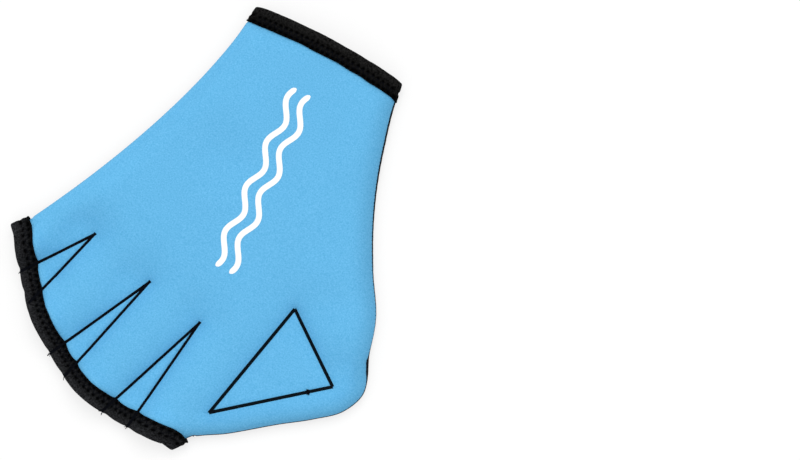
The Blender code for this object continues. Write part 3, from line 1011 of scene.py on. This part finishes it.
def tube(path, radius, up=(0, 0, 1), taper=0.45):
    """A closed tube along a path, thinner at both ends; up is any direction across the path."""
    path = np.array(path, float)
    along = unit(np.gradient(path, axis=0))
    across = unit(np.cross(along, np.broadcast_to(up, path.shape)))
    over = np.cross(across, along)
    scale = np.full(len(path), radius)
    scale[[0, -1]] *= taper
    turns = np.linspace(0.0, 2 * math.pi, TUBE_SIDES, endpoint=False)
    ring = across[:, None] * np.cos(turns)[None, :, None] + over[:, None] * np.sin(turns)[None, :, None]
    points = (path[:, None] + ring * scale[:, None, None]).reshape(-1, 3)
    return points, swept_faces(len(path), TUBE_SIDES)


def panel_shape(glove, is_front):
    """A panel as a closed wall: jersey outside, lining inside and the bare core at its edge."""
    surface, normals = glove.surface(is_front)
    lift = normals * glove.half[:, None] * (1.0 if is_front else -1.0)
    # Painted shade, darker jersey beside the stitched lines
    seam = np.exp(-((glove.seam_distance / SEAM_PAINTED_SHADE_REACH) ** 2))
    # Painted shade, darker jersey near the thumb side
    edge = np.exp(-((glove.thumb_distance / THUMB_EDGE_PAINTED_SHADE_REACH) ** 2))
    count = len(surface)
    points = np.concatenate([surface + lift, surface - lift])
    points[:, 2] = np.maximum(points[:, 2], 0.0)
    shape = Shape()
    shape.add(points, glove.faces, 0, seam=np.tile(seam, 2), edge=np.tile(edge, 2))
    rim = [(a + count, b + count, b, a) for a, b in boundary_edges(glove.faces)]
    for slot, faces in ((1, glove.faces[:, ::-1] + count), (2, rim)):
        shape.faces += [tuple(int(i) for i in face) for face in faces]
        shape.slots += [slot] * len(faces)
    return shape


# Tape

class Rail:
    """Places on a bound edge: along the edge, in from it and out of its middle surface."""

    def __init__(self, band, heights, is_front, ends, reach, turned=False):
        normals = band_normals(band, heights)
        if not is_front:
            normals[:, :2] *= -1
        if turned:
            normals = -normals
        self.at = band.at
        self.middle = np.column_stack([band.points, rolled(heights, band.turn, is_front)])
        self.inward = np.column_stack([band.runs, np.zeros(len(band.at))])
        self.normal = normals
        self.along = band.along
        self.ends, self.reach = ends, reach

    def place(self, at, depth, lift):
        at, depth, lift = np.broadcast_arrays(at, depth, lift)
        return (
            self.read(self.middle, at)
            + self.read(self.inward, at) * depth[..., None]
            + self.read(self.normal, at) * lift[..., None]
            + self.end_shift(at, depth)
        )

    def end_shift(self, at, depth):
        """How far the tape lies off the bound edge near both its ends."""
        rim = np.clip((depth + TAPE_REACH) / (TAPE_LEG + TAPE_REACH), 0.0, 1.0)
        shift = np.zeros((*at.shape, 3))
        for end, sign, (past, rim_past, out, rim_out) in zip((0, -1), (-1.0, 1.0), self.ends):
            near = np.clip(1 - np.abs(at - self.at[end]) / self.reach, 0.0, 1.0) ** 2
            beyond = near * (past + (rim_past - past) * rim)
            outward = near * (out + (rim_out - out) * rim)
            shift[..., :2] += sign * beyond[..., None] * self.along[end]
            shift[..., :2] -= outward[..., None] * unit(self.inward[end, :2])
        return shift

    def read(self, values, at):
        return np.stack([np.interp(at, self.at, values[:, n]) for n in range(3)], axis=-1)


def tape_profile():
    """The folded tape's section: depth inside the edge and height, once round."""
    slot = HALF_BOUND + TAPE_SLACK
    half = [(TAPE_LEG - inward, HALF_TAPED - down) for inward, down in RIM_ROUNDING]
    half += [(depth, HALF_TAPED) for depth in np.linspace(TAPE_LEG - LEG_START, LEG_END, LEG_ROWS)]
    for turn in np.linspace(0.0, math.pi / 2, FOLD_ROWS)[1:]:
        reach, rise = math.sin(turn) ** FOLD_POWER, math.cos(turn) ** FOLD_POWER
        half.append((-TAPE_REACH * reach, HALF_TAPED * rise))
    inner = [(-TAPE_SLACK, slot), (TAPE_LEG, slot)]
    mirrored = [(depth, -height) for depth, height in half[-2::-1]]
    return np.array(half + mirrored + [(d, -h) for d, h in inner[::-1]] + inner)


def needle_mark(at, depth):
    """How near each place of the tape is to a needle hole, from 0 to 1."""
    mark = np.zeros(np.broadcast(at, depth).shape)
    for row, start in zip(NEEDLE_DEPTHS, NEEDLE_STARTS):
        beside = (at - NEEDLE_PITCH * start) / NEEDLE_PITCH
        beside = (beside - np.round(beside)) * NEEDLE_PITCH
        mark += np.exp(-(beside**2 + (depth - row) ** 2) / NEEDLE_SPREAD**2)
    return mark


def resting(path, radius):
    """A thread's path with the thread nowhere under the floor."""
    path[..., 2] = np.maximum(path[..., 2], radius)
    return path


def groove_mark(depth):
    return sum(np.exp(-((depth - row) ** 2) / GROOVE_SPREAD**2) for row in NEEDLE_DEPTHS)


def tape_values(at, profile, feet, seed):
    """The tape's depths and heights at each station and profile point, and its needle marks."""
    depth = np.broadcast_to(profile[:, 0], (len(at), len(profile)))
    height = np.broadcast_to(profile[:, 1], depth.shape)
    station = np.broadcast_to(at[:, None], depth.shape)
    ways = 0.0
    for length, place, *amounts in (TAPE_WANDER, TAPE_RIPPLE):
        wave = np.array([noise.noise((a / length, seed, place)) for a in at])
        ways = ways + np.array(amounts)[:, None, None] * wave[:, None]
    rim_way, fold_way, face_way = ways
    edge_share = np.clip((depth - NEEDLE_DEPTHS[1]) / (TAPE_LEG - NEEDLE_DEPTHS[1]), 0.0, 1.0)
    fold_share = np.clip(-depth / TAPE_REACH, 0.0, 1.0)
    outside = np.abs(height) > HALF_BOUND + PIECE_GAP
    hole = needle_mark(station, depth) * outside
    drawn = sum((np.exp(-(((at - foot) / FOOT_REACH) ** 2)) for foot in feet), np.zeros(len(at)))[:, None]
    moved_depth = depth + edge_share * (rim_way + FOOT_RIM * drawn)
    moved_depth = moved_depth - fold_share * (fold_way - FOOT_FOLD * drawn)
    sunk = NEEDLE_DENT * np.minimum(hole, 1.0) + GROOVE_DEPTH * groove_mark(depth) * outside
    return moved_depth, height - np.sign(height) * (sunk - face_way * outside), hole


def tape_grid(rails, is_ring, feet, seed):
    """The tape along one rail, or round two, as a grid of sections with its attributes."""
    profile = tape_profile()
    places, holes, alongs = [], [], []
    for number, (rail, at) in enumerate(rails):
        depth, height, hole = tape_values(at, profile, feet, seed + number)
        places.append(rail.place(at[:, None], depth, height))
        holes.append(hole)
        alongs.append(np.broadcast_to(at[:, None], hole.shape))
    places, holes, alongs = (np.concatenate(parts) for parts in (places, holes, alongs))
    places[..., 2] = np.maximum(places[..., 2], 0.0)
    across = np.broadcast_to(profile[:, 0], holes.shape)
    faces = swept_faces(*places.shape[:2], is_ring)
    shape = Shape()
    shape.add(
        places.reshape(-1, 3), faces, 0, hole=holes.ravel(), along=alongs.ravel(), across=across.ravel()
    )
    return shape


def finger_tape(glove, is_front):
    band = glove.finger_band(TAPE_STEP)
    heights = mouth_heights(band, FINGER_PEAK) if is_front else rear_heights(band)
    rail = Rail(band, heights, is_front, FINGER_TAPE_ENDS, FINGER_END_REACH)
    seed = FRONT_TAPE_SEED if is_front else REAR_TAPE_SEED
    return tape_grid([(rail, band.at)], False, band.feet, seed), rail, band


def wrist_tape(glove):
    band = glove.wrist_band(TAPE_STEP)
    front = Rail(band, mouth_heights(band, WRIST_PEAK), True, CUFF_TAPE_ENDS, CUFF_END_REACH)
    rear = Rail(band, rear_heights(band), False, CUFF_TAPE_ENDS, CUFF_END_REACH, True)
    seam = (front.middle[[0, -1]] + rear.middle[[0, -1]]) / 2
    front.middle[[0, -1]] = seam
    rear.middle[[0, -1]] = seam
    ring = [(front, band.at), (rear, band.at[1:-1][::-1])]
    return tape_grid(ring, True, [], CUFF_TAPE_SEED), front, rear, band


def tape_thread(shape, rail, band, side):
    """The stitches that zigzag between both rows of needle holes, on one side of a tape."""
    first = math.ceil(band.rolled[0] / NEEDLE_PITCH * 2)
    last = math.floor(band.rolled[1] / NEEDLE_PITCH * 2)
    shares = np.linspace(*TAPE_STITCH, TAPE_STITCH_POINTS)
    arch = side * (HALF_TAPED - TAPE_STITCH_SUNK + np.sin(shares * math.pi) * TAPE_STITCH_ARCH)
    for stitch in range(first, last):
        near, far = NEEDLE_DEPTHS if stitch % 2 == 0 else NEEDLE_DEPTHS[::-1]
        at = (stitch + 2 * NEEDLE_STARTS[0] + shares) * NEEDLE_PITCH / 2
        path = resting(rail.place(at, near + (far - near) * shares, arch), TAPE_THREAD_RADIUS)
        shape.add(*tube(path, TAPE_THREAD_RADIUS, taper=0.5))


# Stitches

class Skin:
    """The outside of the glove, as seen from straight above or below."""

    def __init__(self, shapes, from_above):
        points, faces = [], []
        for shape in shapes:
            start = sum(len(part) for part in points)
            points.append(np.concatenate(shape.points))
            faces += [tuple(i + start for i in face) for face in shape.faces]
        self.tree = BVHTree.FromPolygons(np.concatenate(points).tolist(), faces)
        self.side = 1.0 if from_above else -1.0

    def place(self, plan_points, lift):
        """The points on the outside at these plan points, lifted off it; beside it, off the side seam."""
        places = []
        for x, y in plan_points:
            origin = Vector((x, y, RAY_HEIGHT * self.side))
            hit = self.tree.ray_cast(origin, Vector((0, 0, -self.side)))[0]
            height = hit.z if hit else SEAM_HEIGHT
            places.append((x, y, height + lift * self.side))
        return np.array(places)


def zigzag(start, end, width):
    """Plan points of a thread that crosses a line to and fro, four to a crossing."""
    run = end - start
    length = np.linalg.norm(run)
    run = run / length
    across = left_of(run)
    count = max(2, round(2 * length / SATIN_PITCH))
    points = []
    for number in range(count):
        swing = 1 if number % 2 else -1
        for share in SATIN_SHARES:
            along = (number + (share + 1) / 2) / count * length
            points.append(start + run * along + across * (swing * share * width / 2))
    return np.array(points)


def smooth_heights(path, rounds):
    for _ in range(rounds):
        path[1:-1, 2] = (path[:-2, 2] + 2 * path[1:-1, 2] + path[2:, 2]) / 4
    return path


def satin_seam(thread, track, skin, start, end, width, slot):
    """A dense zigzag of thread along a line on the skin, over the dark track that it leaves."""
    path = smooth_heights(skin.place(zigzag(start, end, width), SATIN_LIFT), SATIN_SMOOTHING)
    thread.add(*tube(resting(path, SATIN_RADIUS), SATIN_RADIUS), slot)
    length = np.linalg.norm(end - start)
    shares = np.linspace(0.0, 1.0, max(2, round(length / TRACK_STEP)) + 1)
    middle = start + (end - start) * shares[:, None]
    half = np.full(len(shares), width / 2)
    add_film(track, skin, middle, left_of((end - start) / length), half, TRACK_LIFT)


def thread_knot(shape, skin, lines):
    """A small knot of a few loops, where the thumb web's stitching starts and ends."""
    start, end, _ = [line for line in lines if not line[2]][KNOT_SIDE]
    middle = start + (end - start) * KNOT_SHARE
    turns = np.linspace(0.0, 2 * math.pi, KNOT_POINTS)
    for turn, length, width, lift in KNOT_LOOPS:
        x = np.cos(turns) * KNOT_RADIUS * length
        y = np.sin(turns) * KNOT_RADIUS * width
        turned_x = x * math.cos(turn) - y * math.sin(turn)
        turned_y = x * math.sin(turn) + y * math.cos(turn)
        loop = middle + np.column_stack([turned_x, turned_y])
        path = smooth_heights(skin.place(loop, lift), KNOT_SMOOTHING)
        shape.add(*tube(path, SATIN_RADIUS, taper=0.7))


def add_film(shape, skin, middle, across, half, lift):
    """A thin closed film on the skin, along a plan line and half as wide as given on each side."""
    offsets = np.linspace(-1.0, 1.0, FILM_LANES)
    lanes = [skin.place(middle + across * (half * offset)[:, None], lift) for offset in offsets]
    top = resting(np.array(lanes), lift)
    under = top - np.array([0.0, 0.0, FILM_THICKNESS])
    sections = np.concatenate([top, under[::-1]]).swapaxes(0, 1)
    shape.add(sections.reshape(-1, 3), swept_faces(*sections.shape[:2]))


def seam_lines(glove):
    """The stitched lines in plan: those of a dart run on across the tape to its fold."""
    lines = []
    for start, end, is_dart in glove.seams:
        start, end = np.array(start), np.array(end)
        if is_dart:
            run = unit(end - start)
            start = start - run * SATIN_START
            end = end + run * (BAND_ROWS[-1] + TAPE_REACH * SATIN_FOLD) * SATIN_EXTRA
        lines.append((start, end, is_dart))
    return lines


def thread_tails(shape, lines):
    """Short loose ends of thread where a dart's line leaves the tape."""
    generator = np.random.default_rng(TAIL_SEED)
    shares = np.linspace(0.0, 1.0, TAIL_POINTS)
    for start, end, is_dart in lines:
        run = unit(end - start)
        for _ in range(TAILS if is_dart else 0):
            angle = math.atan2(run[1], run[0]) + generator.uniform(-TAIL_SPREAD, TAIL_SPREAD)
            length = generator.uniform(*TAIL_LENGTHS)
            headings = angle + generator.uniform(-TAIL_SPREAD, TAIL_SPREAD) * shares
            steps = np.column_stack([np.cos(headings), np.sin(headings)]) * length / len(shares)
            plan = end - run * TAIL_SUNK + np.cumsum(steps, axis=0)
            height = FOOT_HEIGHT + HALF_TAPED - TAIL_SUNK - shares * generator.uniform(*TAIL_DROPS)
            shape.add(*tube(np.column_stack([plan, height]), TAIL_RADIUS, taper=0.6))


def side_stitches(shape, glove):
    """Short upright stitches that hold both panels together along a side."""
    reach = ROLL_RADIUS + HALF_PANEL
    angles = np.linspace(-SIDE_STITCH_TURN, SIDE_STITCH_TURN, SIDE_STITCH_POINTS)
    near, far = (BAND_ROWS[-1] + margin for margin in SIDE_STITCH_MARGINS)
    for side, inward in glove.sides:
        for at in np.arange(near, side.length - far, SIDE_PITCH):
            point = side.place(at)
            away = -inward * left_of(side.along(at))
            rear, front = (thumb_lie(at / side.length, n) * (side is glove.right) for n in range(2))
            out = reach * np.cos(angles) - ROLL_RADIUS - SIDE_STITCH_SUNK
            out = out + rear + (front - rear) * np.clip(angles / SIDE_STITCH_STEP + 0.5, 0.0, 1.0)
            lean = side.along(at) * (angles * SIDE_STITCH_LEAN / SIDE_STITCH_TURN)[:, None]
            plan = point + away * out[:, None] + lean
            path = np.column_stack([plan, SEAM_HEIGHT + reach * np.sin(angles)])
            shape.add(*tube(path, SIDE_THREAD_RADIUS, (*away, 0.0)))


def wave_print(shape, skin):
    """Two white waves side by side down the panel, as thin films that follow its surface."""
    down = np.arange(PRINT_START, PRINT_END, -PRINT_STEP)
    for side in (-1.0, 1.0):
        swing = PRINT_SWING * np.sin((down - PRINT_START) * 2 * math.pi / PRINT_WAVE)
        x = (down - PRINT_START) * PRINT_LEAN + side * PRINT_SPACING / 2 + swing
        middle = np.column_stack([x, down])
        across = left_of(unit(np.gradient(middle, axis=0)))
        ends = np.minimum(down[0] - down, down - down[-1]) + PRINT_TIP
        half = np.sqrt(np.clip(ends / (PRINT_WIDTH / 2), PRINT_TIP_WIDTH, 1.0)) * PRINT_WIDTH / 2
        add_film(shape, skin, middle, across, half, PRINT_LIFT)


# Materials

class Finish:
    """A material whose nodes are added one by one."""

    def __init__(self, name, **sockets):
        self.material = bpy.data.materials.new(name)
        self.material.use_nodes = True
        self.tree = self.material.node_tree
        self.shader = self.tree.nodes["Principled BSDF"]
        for socket, value in sockets.items():
            self.shader.inputs[socket.replace("_", " ")].default_value = value

    def add(self, kind, inputs, **settings):
        node = self.tree.nodes.new(kind)
        for name, value in settings.items():
            setattr(node, name, value)
        for socket, value in inputs.items():
            if isinstance(value, bpy.types.NodeSocket):
                self.tree.links.new(value, node.inputs[socket])
            else:
                node.inputs[socket].default_value = value
        return node

    def math(self, operation, *values):
        return self.add("ShaderNodeMath", dict(enumerate(values)), operation=operation).outputs[0]

    def fit(self, value, factor, base=1.0):
        """The value times a factor, on top of a base."""
        return self.math("MULTIPLY_ADD", value, factor, base)

    def value(self, name):
        return self.add("ShaderNodeAttribute", {}, attribute_name=name).outputs["Fac"]

    def coordinates(self):
        return self.add("ShaderNodeTexCoord", {}).outputs["Object"]

    def speckle(self, scale, detail=2.0):
        """Noise from 0 to 1 whose grains are 1 / scale metres apart."""
        inputs = {"Vector": self.coordinates(), "Scale": scale, "Detail": detail}
        return self.add("ShaderNodeTexNoise", inputs).outputs["Fac"]

    def centred(self, value, amount):
        """The value moved from around a half to around one, times the amount."""
        return self.fit(self.math("SUBTRACT", value, 0.5), amount)

    def ramp(self, value, start, end):
        """A value that runs straight from start to end, each a pair of the given value and the result."""
        inputs = {0: value, 1: start[0], 2: end[0], 3: start[1], 4: end[1]}
        return self.add("ShaderNodeMapRange", inputs).outputs[0]

    def blend(self, low, high, share):
        """The colour between two, by a value from 0 to 1."""
        inputs = {0: share, 6: (*low, 1.0), 7: (*high, 1.0)}
        return self.add("ShaderNodeMix", inputs, data_type="RGBA").outputs[2]

    def shade(self, colour, *factors):
        """The base colour, a fixed one or another node's, times some values."""
        factor = factors[0]
        for other in factors[1:]:
            factor = self.math("MULTIPLY", factor, other)
        grey = self.add("ShaderNodeCombineColor", {0: factor, 1: factor, 2: factor}).outputs[0]
        plain = not isinstance(colour, bpy.types.NodeSocket)
        inputs = {0: 1.0, 6: (*colour, 1.0) if plain else colour, 7: grey}
        mix = self.add("ShaderNodeMix", inputs, data_type="RGBA", blend_type="MULTIPLY")
        self.tree.links.new(mix.outputs[2], self.shader.inputs["Base Color"])

    def relief(self, height, distance, strength):
        inputs = {"Height": height, "Distance": distance, "Strength": strength}
        normal = self.add("ShaderNodeBump", inputs).outputs[0]
        self.tree.links.new(normal, self.shader.inputs["Normal"])


def knit(finish, wale, course):
    """The height of a plain knit: columns of small V stitches."""
    axes = finish.add("ShaderNodeSeparateXYZ", {0: finish.coordinates()})
    column = finish.math("FRACT", finish.math("DIVIDE", axes.outputs[0], wale * MM))
    beside = finish.math("ABSOLUTE", finish.math("SUBTRACT", column, 0.5))
    row = finish.math("DIVIDE", axes.outputs[1], course * MM)
    slanted = finish.fit(beside, KNIT_SLANT, row)
    stitch = finish.math("SINE", finish.math("MULTIPLY", slanted, 2 * math.pi))
    ridge = finish.math("SINE", finish.math("MULTIPLY", column, math.pi))
    return finish.fit(stitch, KNIT_STITCH, ridge)


def jersey(name, shadow, light, roughness, sheen, tint=WHITE):
    """Knitted nylon whose fibres run from the shadow to the light colour."""
    pile = {"Sheen_Weight": sheen, "Sheen_Roughness": 0.45, "Sheen_Tint": tint}
    finish = Finish(name, Roughness=roughness, Specular_IOR_Level=0.15, **pile)
    stitches = knit(finish, KNIT_WALE, KNIT_COURSE)
    fibres = finish.blend(shadow, light, finish.speckle(FIBRE_GRAINS))
    cloud = finish.centred(finish.speckle(CLOUD_GRAINS), CLOUD_SHADE)
    # Painted shade beside the stitched lines
    seam = finish.fit(finish.value("seam"), -SEAM_PAINTED_SHADE)
    # Painted shade near the thumb side, where the panel turns from the light
    edge = finish.fit(finish.value("edge"), -THUMB_EDGE_PAINTED_SHADE)
    finish.shade(fibres, cloud, seam, edge, finish.fit(stitches, *KNIT_SHADE))
    finish.relief(finish.fit(finish.speckle(SOFT_GRAINS), SOFT_RELIEF, stitches), *JERSEY_RELIEF)
    return finish.material


def tape_cloth(name, colour):
    finish = Finish(name, Roughness=0.9, Specular_IOR_Level=0.02)
    along, across = finish.value("along"), finish.value("across")
    rib = finish.math("SINE", finish.math("MULTIPLY", along, 2 * math.pi / TAPE_RIB))
    weft = finish.math("SINE", finish.math("MULTIPLY", across, 2 * math.pi / TAPE_WEFT))
    weave = finish.fit(rib, weft, finish.math("MULTIPLY", rib, RIB_SHARE))
    # Painted shade in the needle holes
    hole = finish.fit(finish.value("hole"), *HOLE_PAINTED_SHADE)
    worn = finish.centred(finish.speckle(WORN_GRAINS), WORN_CONTRAST)
    shades = finish.math("MAXIMUM", hole, HOLE_LEAST), worn
    # Painted sheen along the fold; the leg's darker rim is partly pressed cloth and partly painted shade
    shades += finish.ramp(across, *FOLD_PAINTED_SHEEN), finish.ramp(across, *RIM_PAINTED_SHADE)
    finish.shade(colour, *shades, finish.fit(weave, *WEAVE_SHADE))
    finish.relief(finish.fit(finish.speckle(TAPE_GRAINS), TAPE_GRAIN_RELIEF, weave), *TAPE_RELIEF)
    return finish.material


def grained(name, colour, kind):
    roughness, shine, grains, detail, contrast, distance, strength = GRAINS[kind]
    finish = Finish(name, Roughness=roughness, Specular_IOR_Level=shine)
    grain = finish.speckle(grains, detail)
    finish.shade(colour, finish.centred(grain, contrast))
    finish.relief(grain, distance, strength)
    return finish.material


# Picture

def add_floor():
    bpy.ops.mesh.primitive_plane_add(size=FLOOR_SIZE, location=(0.0, 0.0, -FLOOR_DROP))
    floor = bpy.context.object
    floor.name = "floor"
    glow = {"Emission_Color": WHITE, "Emission_Strength": FLOOR_GLOW}
    finish = Finish("floor_paper", Roughness=0.9, Specular_IOR_Level=0.1, **glow)
    finish.shade((FLOOR_SHADE,) * 3, finish.centred(finish.speckle(FLOOR_GRAINS), FLOOR_CONTRAST))
    floor.data.materials.append(finish.material)


def add_lights():
    world = bpy.data.worlds.new("studio")
    world.use_nodes = True
    nodes, links = world.node_tree.nodes, world.node_tree.links
    split, ramp = nodes.new("ShaderNodeSeparateXYZ"), nodes.new("ShaderNodeValToRGB")
    links.new(nodes.new("ShaderNodeTexCoord").outputs["Generated"], split.inputs["Vector"])
    links.new(split.outputs["Z"], ramp.inputs["Fac"])
    stops = ramp.color_ramp.elements
    for _ in SKY[2:]:
        stops.new(1.0)
    for stop, (height, shade) in zip(stops, SKY):
        stop.position, stop.color = height, (shade, shade, shade, 1.0)
    links.new(ramp.outputs["Color"], nodes["Background"].inputs["Color"])
    nodes["Background"].inputs["Strength"].default_value = SKY_STRENGTH
    bpy.context.scene.world = world
    light = bpy.data.lights.new("key", "SUN")
    light.energy = KEY_STRENGTH
    light.angle = KEY_SOFTNESS
    lamp = bpy.data.objects.new("key", light)
    turn = math.radians(GLOVE_TURN)
    right, up, height = KEY_FROM
    lamp.location = (
        right * math.cos(turn) - up * math.sin(turn),
        right * math.sin(turn) + up * math.cos(turn),
        height,
    )
    lamp.rotation_euler = (-lamp.location).to_track_quat("-Z", "Y").to_euler()
    bpy.context.scene.collection.objects.link(lamp)


def add_camera(shift):
    data = bpy.data.cameras.new("camera")
    data.sensor_width = CAMERA_SENSOR
    data.lens = data.sensor_width * (CAMERA_HEIGHT - SEAM_HEIGHT) / PICTURE_WIDTH
    data.clip_start, data.clip_end = CAMERA_CLIP
    camera = bpy.data.objects.new("camera", data)
    camera.location = ((PICTURE_X + shift[0]) * MM, (PICTURE_Y + shift[1]) * MM, CAMERA_HEIGHT * MM)
    camera.rotation_euler = (0.0, 0.0, math.radians(GLOVE_TURN))
    bpy.context.scene.collection.objects.link(camera)
    bpy.context.scene.camera = camera
    bpy.context.scene.view_settings.view_transform = "Standard"


# Glove

def dress(name, shape, materials, shift, slot, *nodes):
    piece = shape.make(name, materials, shift)
    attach(piece, "root")
    if nodes:
        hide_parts(*nodes)


def build():
    cuff_low, cuff_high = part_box("cuff_binding")
    wrist_top = WRIST_BOW + TAPE_REACH
    shift = np.array([(cuff_low.x + cuff_high.x) / 2 / MM, cuff_high.y / MM - wrist_top, 0.0])
    glove = Glove()

    blue = jersey("blue_jersey", *BLUE_FIBRES, roughness=0.8, sheen=0.03, tint=BLUE_TINT)
    charcoal = jersey("charcoal_jersey", *CHARCOAL_FIBRES, roughness=0.85, sheen=0.05)
    lining = jersey("black_lining", *LINING_FIBRES, roughness=0.88, sheen=0.04)
    core = grained("foam_core", FOAM_CORE, "foam")
    cuff_cloth = tape_cloth("cuff_cloth", CUFF_CLOTH)
    finger_cloth = tape_cloth("finger_cloth", FINGER_CLOTH)
    black = grained("black_thread", BLACK_THREAD, "thread")
    slate = grained("slate_thread", SLATE_THREAD, "thread")
    track = grained("needle_track", NEEDLE_TRACK, "foam")
    white = grained("white_film", WHITE_FILM, "film")

    front_panel, rear_panel = panel_shape(glove, True), panel_shape(glove, False)
    front_tape, front_rail, finger_band = finger_tape(glove, True)
    rear_tape, rear_rail, _ = finger_tape(glove, False)
    cuff, cuff_front_rail, cuff_rear_rail, cuff_band = wrist_tape(glove)
    above = Skin([front_panel, front_tape], True)
    below = Skin([rear_panel, rear_tape], False)

    front_thread, rear_thread, front_track, rear_track = (Shape() for _ in range(4))
    lines = seam_lines(glove)
    for start, end, is_dart in lines:
        width, slot = (DART_WIDTH, 0) if is_dart else (WEB_WIDTH, 1)
        satin_seam(front_thread, front_track, above, start, end, width, slot)
        satin_seam(rear_thread, rear_track, below, start, end, width, slot)
    thread_knot(front_thread, above, lines)
    tails, sides, finger_thread, cuff_thread, print_film = (Shape() for _ in range(5))
    thread_tails(tails, lines)
    side_stitches(sides, glove)
    tape_thread(finger_thread, front_rail, finger_band, 1.0)
    tape_thread(finger_thread, rear_rail, finger_band, -1.0)
    tape_thread(cuff_thread, cuff_front_rail, cuff_band, 1.0)
    tape_thread(cuff_thread, cuff_rear_rail, cuff_band, 1.0)
    wave_print(print_film, above)

    # Name, shape, materials, record slot and the node that the piece stands for, if any
    for name, shape, materials, *fit in (
        ("front_jersey", front_panel, [blue, lining, core], "front_panel", "front_panel"),
        ("rear_jersey", rear_panel, [charcoal, lining, core], "rear_panel", "rear_panel"),
        ("cuff_tape", cuff, [cuff_cloth], "binding", "cuff_binding"),
        ("finger_tape_front", front_tape, [finger_cloth], "binding", "finger_binding_front"),
        ("finger_tape_rear", rear_tape, [finger_cloth], "binding", "finger_binding_rear"),
        ("seam_thread_front", front_thread, [black, slate], "binding"),
        ("seam_thread_rear", rear_thread, [black, slate], "binding"),
        ("seam_track_front", front_track, [track], "binding"),
        ("seam_track_rear", rear_track, [track], "binding"),
        ("thread_tails", tails, [black], "binding"),
        ("side_thread", sides, [black], "rear_panel"),
        ("finger_tape_thread", finger_thread, [black], "binding"),
        ("cuff_tape_thread", cuff_thread, [black], "binding"),
        ("wave_print", print_film, [white], "front_panel"),
    ):
        dress(name, shape, materials, shift, *fit)
    add_floor()
    add_lights()
    add_camera(shift)


build()
